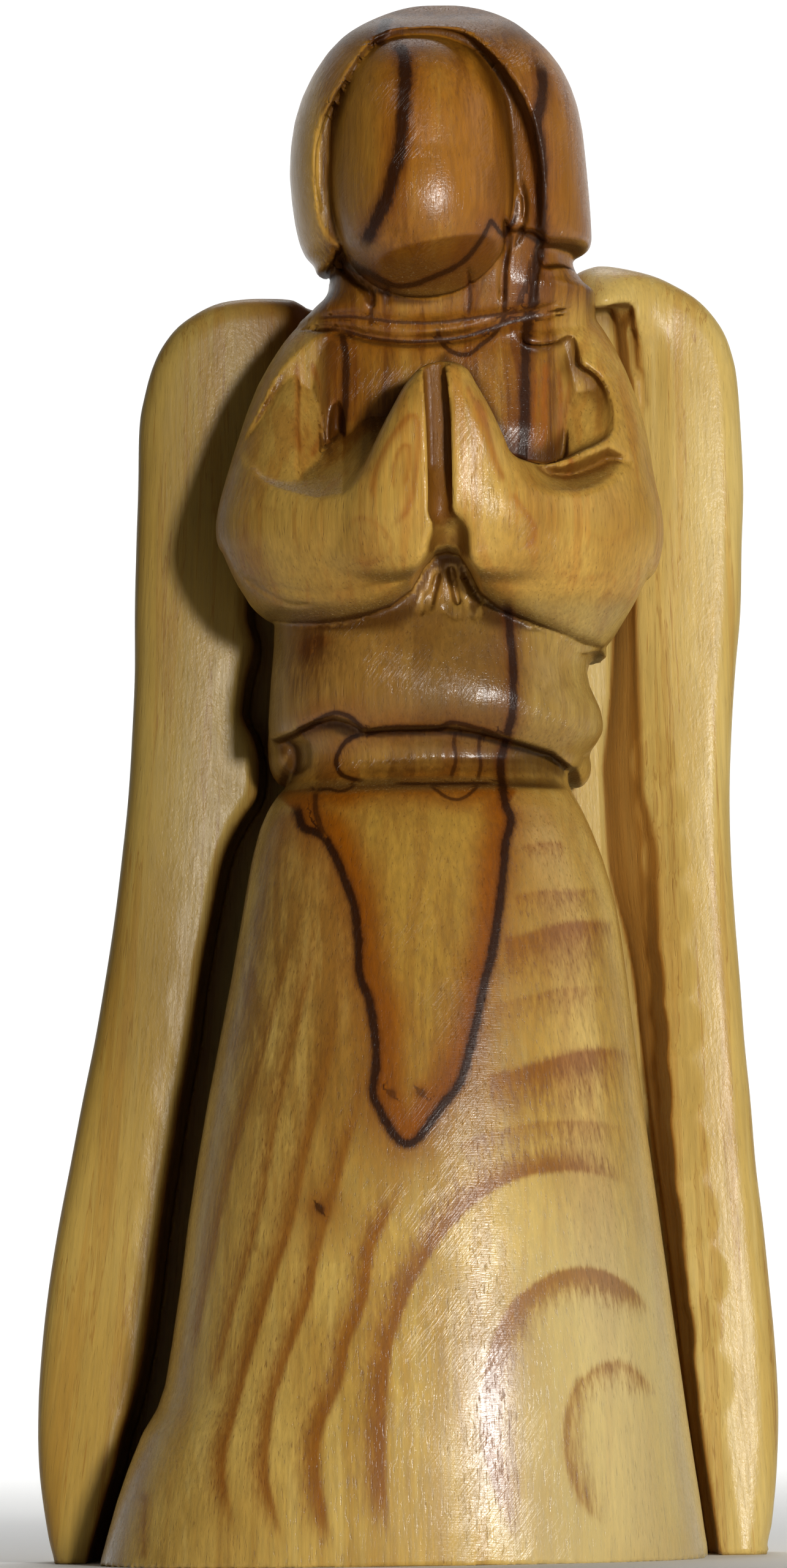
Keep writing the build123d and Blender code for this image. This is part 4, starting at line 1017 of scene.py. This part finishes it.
def finish_wood(N, colour, P, rough, coat, coat_rough, height, strength, scratch=None):
    """Satin wood under a thin uneven lacquer."""
    out = N.new("ShaderNodeOutputMaterial")
    b = N.new("ShaderNodeBsdfPrincipled")
    N.put(b.inputs["Base Color"], colour)
    N.put(b.inputs["Roughness"], rough)
    b.inputs["IOR"].default_value = 1.45
    b.inputs["Specular IOR Level"].default_value = 0.12
    N.put(b.inputs["Coat Weight"], coat)
    N.put(b.inputs["Coat Roughness"], coat_rough)
    b.inputs["Coat IOR"].default_value = 1.52
    bump = N.new("ShaderNodeBump")
    bump.inputs["Strength"].default_value = 1.0
    bump.inputs["Distance"].default_value = 0.001
    N.put(bump.inputs["Height"], height)
    N.put(b.inputs["Normal"], bump.outputs[0])
    bump2 = N.new("ShaderNodeBump")
    bump2.inputs["Strength"].default_value = 1.0
    bump2.inputs["Distance"].default_value = 0.001
    N.put(bump2.inputs["Height"], strength)
    N.put(b.inputs["Coat Normal"], bump2.outputs[0])
    N.t.links.new(b.outputs[0], out.inputs["Surface"])
    return b


def figure_wood():
    mat = bpy.data.materials.new("olive_heartwood")
    N = Nodes(mat)
    P, X, Y, Z = grain_base(N)
    sd, on = N.attr("vein_sd"), N.attr("vein_on")
    heart, arm, skirt, head, tongue = (N.attr(k) for k in ("heart", "arm", "skirt", "head", "tongue"))
    # noises: fine pores, long streaks, broad cloud
    pores = N.noise(P, (7.0, 7.0, 0.75), 3, 0.6)
    fibre = N.noise(P, (3.2, 3.2, 0.22), 3, 0.6, off=7.3)
    streak = N.noise(P, (1.05, 1.05, 0.055), 3, 0.55, 0.3, off=3.1)
    cloud = N.noise(P, (0.16, 0.16, 0.07), 2, 0.5, off=11.0)
    wob = N.noise(P, (0.55, 0.55, 0.35), 3, 0.6, off=21.0)
    vfar, ringv = N.attr("vein_far"), N.attr("ring")
    # straight bands
    bands = N.noise(P, (0.62, 0.25, 0.018), 4, 0.62, 0.6, off=31.0)
    band_dark = N.step(bands, 0.47, 0.62)
    band_pale = N.step(bands, 0.45, 0.30)

    sap = N.mix(N.step(cloud, 0.3, 0.7), lin(198, 165, 92), lin(182, 144, 70))
    sap = N.mix(N.mul(band_dark, 0.40), sap, lin(162, 116, 50))
    sap = N.mix(N.mul(band_pale, 0.50), sap, lin(206, 177, 108))
    honey = N.mix(N.step(cloud, 0.3, 0.7), lin(188, 150, 76), lin(170, 126, 54))
    honey = N.mix(N.mul(band_dark, 0.45), honey, lin(164, 106, 38))
    hw = N.mix(N.step(cloud, 0.28, 0.72), lin(154, 106, 36), lin(130, 82, 20))
    hw = N.mix(N.mul(band_dark, 0.80), hw, lin(92, 50, 10))
    hw = N.mix(N.mul(band_pale, 0.60), hw, lin(166, 126, 56))
    # the waist is greyer, with brown smudges at its left
    tan = N.mix(N.step(cloud, 0.28, 0.72), lin(160, 124, 64), lin(140, 100, 44))
    tan = N.mix(N.mul(band_dark, 0.35), tan, lin(116, 74, 26))
    smudge = N.mul(N.step(N.m("ABSOLUTE", N.add(X, 6.8)), 3.4, 0.4), N.step(N.add(Z, N.mul(N.sub(fibre, 0.5), 9.0)), 64.5, 70.0))
    tan = N.mix(N.mul(smudge, 0.75), tan, lin(92, 50, 12))
    low = N.mul(N.step(Z, 74.0, 71.8), N.step(Z, 58.6, 62.2))
    hw = N.mix(low, hw, tan)
    # head: richer, with a tan flame left of its dark line
    face_hw = N.mix(N.mul(band_dark, 0.6), lin(152, 98, 28), lin(108, 60, 10))
    face_hw = N.mix(N.mul(band_pale, 0.6), face_hw, lin(164, 118, 46))
    flame = N.mul(N.step(X, 0.3, -2.4), N.step(N.add(X, N.mul(N.sub(fibre, 0.5), 2.0)), -11.0, -6.0))
    face_hw = N.mix(N.mul(flame, 0.55), face_hw, lin(150, 110, 46))
    hw = N.mix(head, hw, face_hw)
    base = N.mix(arm, sap, honey)
    base = N.mix(heart, base, hw)
    # skirt outside the tongue: rings with feathered edges
    feather = N.add(N.mul(N.sub(fibre, 0.5), N.step(X, -6.0, 4.0, 0.22, 0.75)), N.mul(N.sub(pores, 0.5), 0.60))
    r1 = N.m("MULTIPLY_ADD", feather, N.step(ringv, 0.02, 0.35), ringv)
    outside = N.mul(N.step(tongue, 0.2, -0.4), skirt)
    base = N.mix(N.mul(N.mul(N.step(r1, 0.05, 0.90), outside), 0.88), base, lin(134, 76, 10))
    # inside it: tan in the middle, amber along the edge
    amber = N.add(tongue, N.mul(N.sub(cloud, 0.5), 3.0))
    tcol = N.mix(N.step(amber, 3.8, 0.6), lin(164, 126, 54), lin(134, 74, 3))
    tcol = N.mix(N.mul(band_dark, 0.35), tcol, lin(120, 72, 24))
    base = N.mix(N.mul(N.step(tongue, -0.3, 0.2), skirt), base, tcol)
    # warm bleed beside every dark line
    vf = N.add(vfar, N.mul(N.sub(wob, 0.5), 1.6))
    west = N.mul(N.mul(N.step(X, -1.0, -5.0), N.step(Z, 22.0, 44.0)), outside)
    west = N.mul(west, N.step(N.add(bands, N.mul(N.sub(fibre, 0.5), 0.25)), 0.36, 0.58, 0.35, 1.0))
    base = N.mix(N.mul(west, 0.70), base, lin(122, 80, 26))
    wide = N.add(vfar, N.mul(N.sub(fibre, 0.5), 4.0))
    base = N.mix(N.mul(N.mul(N.step(wide, 7.0, 0.5), outside), 0.62), base, lin(140, 92, 32))
    base = N.mix(N.mul(N.step(vf, 2.4, 0.2), 0.50), base, lin(122, 66, 12))
    ar_ = N.add(N.attr("aring"), N.mul(N.sub(wob, 0.5), 0.25))
    base = N.mix(N.mul(N.step(ar_, 0.14, 0.9), 0.70), base, lin(146, 80, 22))
    base = N.mix(N.mul(N.attr("slot"), 0.85), base, lin(116, 70, 18))
    # vessels
    base = N.mix(N.step(pores, 0.58, 0.74, 0.0, 0.42), base, lin(108, 64, 18))
    base = N.shade(base, N.step(fibre, 0.25, 0.75, 1.16, 0.86))
    base = N.shade(base, N.step(cloud, 0.25, 0.75, 1.06, 0.94))
    base, up = end_grain(N, base, P, lin(104, 78, 40), N.step(head, 0.0, 1.0, 0.7, 0.0))
    nrm = N.new("ShaderNodeTexCoord")
    nsep = N.new("ShaderNodeSeparateXYZ")
    N.put(nsep.inputs[0], nrm.outputs["Normal"])
    # painted shade: faces turned downwards around the chin and neck are darkened
    underside_shade = N.mul(N.step(nsep.outputs[2], -0.42, -0.80), N.step(Z, 96.0, 97.2))
    base = N.mix(N.mul(underside_shade, 0.55), base, lin(92, 48, 6))
    # painted shade: darker and browner down in the recesses, from the occlusion estimate; the coat is dulled there
    # further on
    occl_shade = N.step(N.attr("hollow"), 0.10, 0.80)
    deep_shade = N.add(occl_shade, N.mul(N.sub(wob, 0.5), 0.25))
    base = N.mix(N.step(deep_shade, 0.05, 0.95, 0.0, 0.80), base, N.mix(arm, lin(66, 34, 5), lin(104, 62, 18)))
    # places: the veil's left edge is paler wood, lifted further with painted light where the light falls off; the
    # upward faces of the head darkened as painted shade; the skirt's lower right side paler and whiter, pale wood with
    # a painted sheen
    pale_rim_and_painted_light = N.mul(N.mul(N.step(N.add(X, N.mul(N.sub(fibre, 0.5), 2.0)), -4.7, -6.3), head), N.step(N.add(Y, N.mul(N.sub(cloud, 0.5), 4.0)), DEPTH0 - 15.0, DEPTH0 - 21.0))
    base = N.mix(N.mul(pale_rim_and_painted_light, 0.72), base, lin(218, 172, 84))
    # painted shade: faces of the head turned upwards are darkened
    base = N.shade(base, N.step(N.mul(N.step(nsep.outputs[2], 0.45, 0.9), head), 0.0, 1.0, 1.0, 0.55))
    # pale wood with a painted sheen on the skirt's lower right side, less on the rings
    pale_wood_and_sheen = N.mul(N.mul(N.step(X, 4.0, 12.0), N.step(Z, 36.0, 18.0)), outside)
    base = N.mix(N.mul(N.mul(pale_wood_and_sheen, N.step(r1, 0.15, 0.7, 1.0, 0.25)), 0.45), base, lin(216, 204, 162))
    # painted shade: the left side of the sleeves darker, turned away from the light
    base = N.shade(base, N.step(N.mul(arm, N.step(X, 2.5, -5.0)), 0.0, 1.0, 1.0, 0.80))
    low_r = N.mul(low, N.step(X, -2.0, 3.0))
    base = N.shade(base, N.step(low_r, 0.0, 1.0, 1.0, 0.74))
    base = N.scaled(base, (1.0, 0.975, 0.80))
    # dark growth lines, wavering
    sdw = N.add(sd, N.mul(N.sub(N.noise(P, (1.6, 1.6, 0.8), 3, 0.6, off=5.0), 0.5), 1.0))
    sdw = N.add(sdw, N.mul(N.sub(pores, 0.5), 0.8))
    a = N.m("ABSOLUTE", sdw)
    base = N.mix(N.mul(N.mul(N.step(a, 2.3, 0.9), on), 0.60), base, lin(84, 40, 6))
    vein = N.mul(N.mul(N.step(a, 1.35, 0.55), on), 0.95)
    base = N.mix(vein, base, lin(42, 18, 3))
    # roughness and coat roughness vary with the pores, fibres and broad cloud
    rough = N.add(N.step(pores, 0.3, 0.75, 0.34, 0.52), N.mul(cloud, 0.06))
    coat_r = N.add(N.step(fibre, 0.3, 0.7, 0.10, 0.18), N.mul(cloud, 0.05))
    hgt = N.add(N.mul(N.step(pores, 0.55, 0.8), -0.030), N.mul(fibre, 0.025))
    spark = N.noise(P, (4.4, 4.4, 3.2), 3, 0.65, off=41.0)
    scr = N.noise(P, (1.2, 1.2, 9.0), 2, 0.6, 0.6, off=51.0)
    coat_h = N.add(N.mul(spark, N.step(skirt, 0.0, 1.0, 0.030, 0.008)), N.mul(scr, 0.012))
    coat_h = N.add(coat_h, N.mul(N.step(pores, 0.55, 0.8), -0.012))
    grit = N.noise(P, (6.0, 6.0, 6.0), 2, 0.6, off=81.0)
    hgt = N.add(hgt, N.mul(N.mul(grit, up), 0.10))
    coat_h = N.add(coat_h, N.mul(N.mul(grit, up), 0.10))
    # scratches left by sanding, slanting across the grain
    rot = N.new("ShaderNodeMapping")
    N.put(rot.inputs["Vector"], P)
    rot.inputs["Rotation"].default_value = (0.0, math.radians(52), 0.0)
    sand = N.noise(rot.outputs[0], (0.45, 2.0, 7.5), 3, 0.6, off=91.0)
    sandy = N.mul(N.step(N.noise(P, (0.25, 0.25, 0.2), 1, 0.5, off=95.0), 0.40, 0.60), N.step(sand, 0.45, 0.75))
    coat_h = N.add(coat_h, N.mul(sandy, N.sub(N.step(head, 0.0, 1.0, 0.040, 0.085), N.mul(skirt, 0.030))))
    gloss = N.mul(N.step(up, 0.0, 1.0, 0.60, 0.25), N.step(occl_shade, 0.1, 0.7, 1.0, 0.35))
    gloss = N.mul(gloss, N.step(vein, 0.0, 1.0, 1.0, 0.45))
    gloss = N.mul(gloss, N.step(arm, 0.0, 1.0, 1.0, 0.62))
    gloss = N.mul(gloss, N.step(skirt, 0.0, 1.0, 1.0, 1.65))
    coat_r = N.add(coat_r, N.add(N.mul(skirt, 0.085), N.mul(head, 0.045)))
    gloss = N.mul(gloss, N.step(nsep.outputs[2], 0.25, 0.85, 1.0, 0.15))
    gloss = N.mul(gloss, N.step(N.mul(N.step(tongue, -0.2, 0.4), skirt), 0.0, 1.0, 1.0, 0.30))
    finish_wood(N, base, P, rough, gloss, coat_r, hgt, coat_h)
    return mat


def panel_wood(name, shift, left_warm_shaded):
    mat = bpy.data.materials.new(name)
    N = Nodes(mat)
    P, X, Y, Z = grain_base(N)
    # the grain leans with the panel
    lean = N.new("ShaderNodeCombineXYZ")
    bent = N.add(X, N.mul(N.m("POWER", N.m("ABSOLUTE", N.mul(N.sub(95.0, Z), 0.0105)), 1.6), 7.5 * (1 if shift < 0 else -0.4)))
    N.put(lean.inputs[0], bent)
    N.put(lean.inputs[1], Y)
    N.put(lean.inputs[2], Z)
    Q = lean.outputs[0]
    pores = N.noise(Q, (8.0, 8.0, 0.5), 3, 0.6, off=shift)
    fibre = N.noise(Q, (3.6, 3.6, 0.12), 3, 0.6, off=shift + 5)
    bands = N.noise(Q, (0.75, 0.4, 0.010), 4, 0.6, 0.3, off=shift + 9)
    cloud = N.noise(Q, (0.12, 0.12, 0.05), 2, 0.5, off=shift + 13)
    base = N.mix(N.step(cloud, 0.3, 0.7), lin(206, 178, 108), lin(194, 162, 90))
    base = N.mix(N.step(bands, 0.50, 0.66, 0.0, 0.50), base, lin(176, 130, 58))
    base = N.mix(N.step(bands, 0.44, 0.30, 0.0, 0.40), base, lin(212, 188, 126))
    line = N.step(N.m("ABSOLUTE", N.sub(bands, 0.565)), 0.010, 0.002)
    base = N.mix(N.mul(line, 0.45), base, lin(146, 94, 38))
    tcn = N.new("ShaderNodeTexCoord")
    sn = N.new("ShaderNodeSeparateXYZ")
    N.put(sn.inputs[0], tcn.outputs["Normal"])
    # painted shade: the inner step walls of the panels are browner and darker, as faces turned from the light or in the
    # figure's shadow
    wall_shade = N.step(N.mul(sn.outputs[0], 1.0 if left_warm_shaded else -1.0), 0.30, 0.80)
    wall_shade = N.mul(wall_shade, N.step(N.m("ABSOLUTE", X), 27.0, 24.5))
    base = N.mix(N.mul(wall_shade, 0.75), base, lin(122, 74, 22) if left_warm_shaded else lin(170, 112, 42))
    # left panel: a browner top corner and browner wood overall, with painted shade over it, darker towards the top, as
    # the side away from the light
    if left_warm_shaded:
        w = N.mul(N.step(Z, 86.0, 97.5), N.step(X, -17.0, -7.0))
        base = N.mix(N.mul(w, 0.75), base, lin(132, 74, 22))
        base = N.mix(0.35, base, lin(140, 98, 40))
        base = N.shade(base, N.step(Z, 22.0, 48.0, 1.02, 0.68))
    base = N.mix(N.step(pores, 0.60, 0.76, 0.0, 0.16), base, lin(150, 104, 48))
    base = N.shade(base, N.step(fibre, 0.25, 0.75, 1.10, 0.90))
    rough = N.add(N.step(pores, 0.3, 0.75, 0.36, 0.54), N.mul(cloud, 0.05))
    coat_r = N.add(N.step(fibre, 0.3, 0.7, 0.10, 0.18), N.mul(cloud, 0.05))
    hgt = N.add(N.mul(N.step(pores, 0.55, 0.8), -0.030), N.mul(fibre, 0.030))
    spark = N.noise(P, (4.2, 4.2, 2.4), 3, 0.65, off=41.0 + shift)
    waves = N.noise(P, (0.35, 0.35, 0.22), 2, 0.5, off=61.0 + shift)
    coat_h = N.add(N.mul(spark, 0.028), N.mul(waves, 0.04))
    base, up = end_grain(N, base, P, lin(150, 118, 70), 0.4)
    # painted shade: darker and browner down in the recesses, from the occlusion estimate
    occl_shade = N.step(N.attr("hollow"), 0.12, 0.85)
    base = N.mix(N.mul(occl_shade, 0.75), base, lin(112, 68, 20))
    base = N.scaled(base, (1.0, 0.985, 0.74) if left_warm_shaded else (1.0, 0.99, 0.90))
    finish_wood(N, base, P, rough, N.step(occl_shade, 0.1, 0.7, 0.16 if left_warm_shaded else 0.28, 0.1), N.add(coat_r, 0.10), hgt, coat_h)
    return mat


figure.data.materials.append(figure_wood())
left_panel.data.materials.append(panel_wood("olive_sapwood_left", -2.0, True))
right_panel.data.materials.append(panel_wood("olive_sapwood_right", 4.0, False))
for node in ("left_wing_dowels", "right_wing_dowels"):
    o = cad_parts[node]
    md = bpy.data.materials.get("dowel_wood_grain")
    if md is None:
        md = bpy.data.materials.new("dowel_wood_grain")
        N = Nodes(md)
        P, X, Y, Z = grain_base(N)
        fib = N.noise(P, (5.0, 0.4, 5.0), 3, 0.6)
        col = N.mix(N.step(fib, 0.35, 0.65), lin(214, 184, 132), lin(190, 152, 98))
        finish_wood(N, col, P, N.step(fib, 0.3, 0.7, 0.55, 0.7), 0.0, 0.3, N.mul(fib, 0.03), N.mul(fib, 0.0))
    o.data.materials.clear()
    o.data.materials.append(md)

for o, node, slot in ((figure, "figure", "heartwood"), (left_panel, "left_wing", "sapwood"), (right_panel, "right_wing", "sapwood")):
    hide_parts(node)
    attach(o, "root")

# ------------------------------------------------------------------ stage, camera, light
MM = 0.001
CAM_Y, CAM_Z, CAM_X = -0.700, 0.015, -0.00056
AIM = Vector((-0.00056, 0.0, 0.0592))
ROLL = math.radians(0.8)

sc = bpy.context.scene
cam = bpy.data.cameras.new("camera")
co = bpy.data.objects.new("camera", cam)
sc.collection.objects.link(co)
co.location = (CAM_X, CAM_Y, CAM_Z)
fw = (AIM - co.location).normalized()
right = fw.cross(Vector((0, 0, 1))).normalized()
up = right.cross(fw)
r2 = right * math.cos(ROLL) - up * math.sin(ROLL)
u2 = right * math.sin(ROLL) + up * math.cos(ROLL)
m = Matrix((r2, u2, -fw)).transposed().to_4x4()
m.translation = co.location
co.matrix_world = m
cam.sensor_fit = "VERTICAL"
cam.sensor_height = 36.0
cam.lens = 210.6812
cam.clip_start, cam.clip_end = 0.05, 20.0
sc.camera = co


def sheet(name, verts, faces):
    me = bpy.data.meshes.new(name)
    me.from_pydata(verts, [], faces)
    o = bpy.data.objects.new(name, me)
    sc.collection.objects.link(o)
    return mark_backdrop(o) or o


# floor that curves up into a backdrop
n = 24
prof_pts = [(-1.6, 0.0), (0.90, 0.0)]
for i in range(1, n + 1):
    a = math.pi / 2 * i / n
    prof_pts.append((0.90 + 0.40 * math.sin(a), 0.40 * (1 - math.cos(a))))
prof_pts.append((1.30, 2.2))
vs, fs = [], []
for i, (yy, zz) in enumerate(prof_pts):
    vs += [(-2.6, yy, zz), (2.6, yy, zz)]
    if i:
        fs.append((2 * i - 2, 2 * i - 1, 2 * i + 1, 2 * i))
me = bpy.data.meshes.new("studio_sweep")
me.from_pydata(vs, [], fs)
for p in me.polygons:
    p.use_smooth = True
sweep = bpy.data.objects.new("studio_sweep", me)
sc.collection.objects.link(sweep)
paper = bpy.data.materials.new("pale_paper")
paper.use_nodes = True
pb = paper.node_tree.nodes["Principled BSDF"]
pb.inputs["Base Color"].default_value = (0.86, 0.86, 0.85, 1)
pb.inputs["Roughness"].default_value = 0.8
# seen from behind the sweep is clear, so that the back of the carving can be looked at
pt = paper.node_tree
p_out = pt.nodes["Material Output"]
p_geo, p_mix, p_clear = pt.nodes.new("ShaderNodeNewGeometry"), pt.nodes.new("ShaderNodeMixShader"), pt.nodes.new("ShaderNodeBsdfTransparent")
pt.links.new(p_geo.outputs["Backfacing"], p_mix.inputs[0])
pt.links.new(pb.outputs[0], p_mix.inputs[1])
pt.links.new(p_clear.outputs[0], p_mix.inputs[2])
pt.links.new(p_mix.outputs[0], p_out.inputs["Surface"])
me.materials.append(paper)


def area(name, loc, aim, size, power, colour=(1, 1, 1), size_y=None):
    l = bpy.data.lights.new(name, "AREA")
    l.shape = "RECTANGLE" if size_y else "SQUARE"
    l.size = size
    if size_y:
        l.size_y = size_y
    l.energy = power
    l.color = colour
    o = bpy.data.objects.new(name, l)
    sc.collection.objects.link(o)
    o.location = loc
    d = (Vector(aim) - Vector(loc)).normalized()
    o.rotation_euler = d.to_track_quat("-Z", "Y").to_euler()
    return o


area("key_flash", (0.25, -0.71, 0.15), (0.0, 0, 0.06), 0.07, 4.35, (1.0, 0.985, 0.95))
area("soft_left", (-0.8, -0.5, 0.5), (0, 0, 0.06), 0.7, 0.03, (0.95, 0.98, 1.0))
area("soft_right", (0.85, -0.10, 0.40), (0, 0, 0.06), 0.6, 0.9, (0.96, 0.98, 1.0))
area("top", (0.1, -0.1, 1.0), (0, 0, 0.05), 0.8, 0.25, (0.98, 0.99, 1.0))
area("wall_wash", (0.0, 0.62, 0.95), (0.0, 1.22, 0.22), 0.5, 11.0, (1, 1, 1))
w = bpy.data.worlds.new("studio")
sc.world = w
w.use_nodes = True
w.node_tree.nodes["Background"].inputs[0].default_value = (1.0, 0.98, 0.95, 1)
w.node_tree.nodes["Background"].inputs[1].default_value = 0.035
sc.view_settings.view_transform = "Standard"
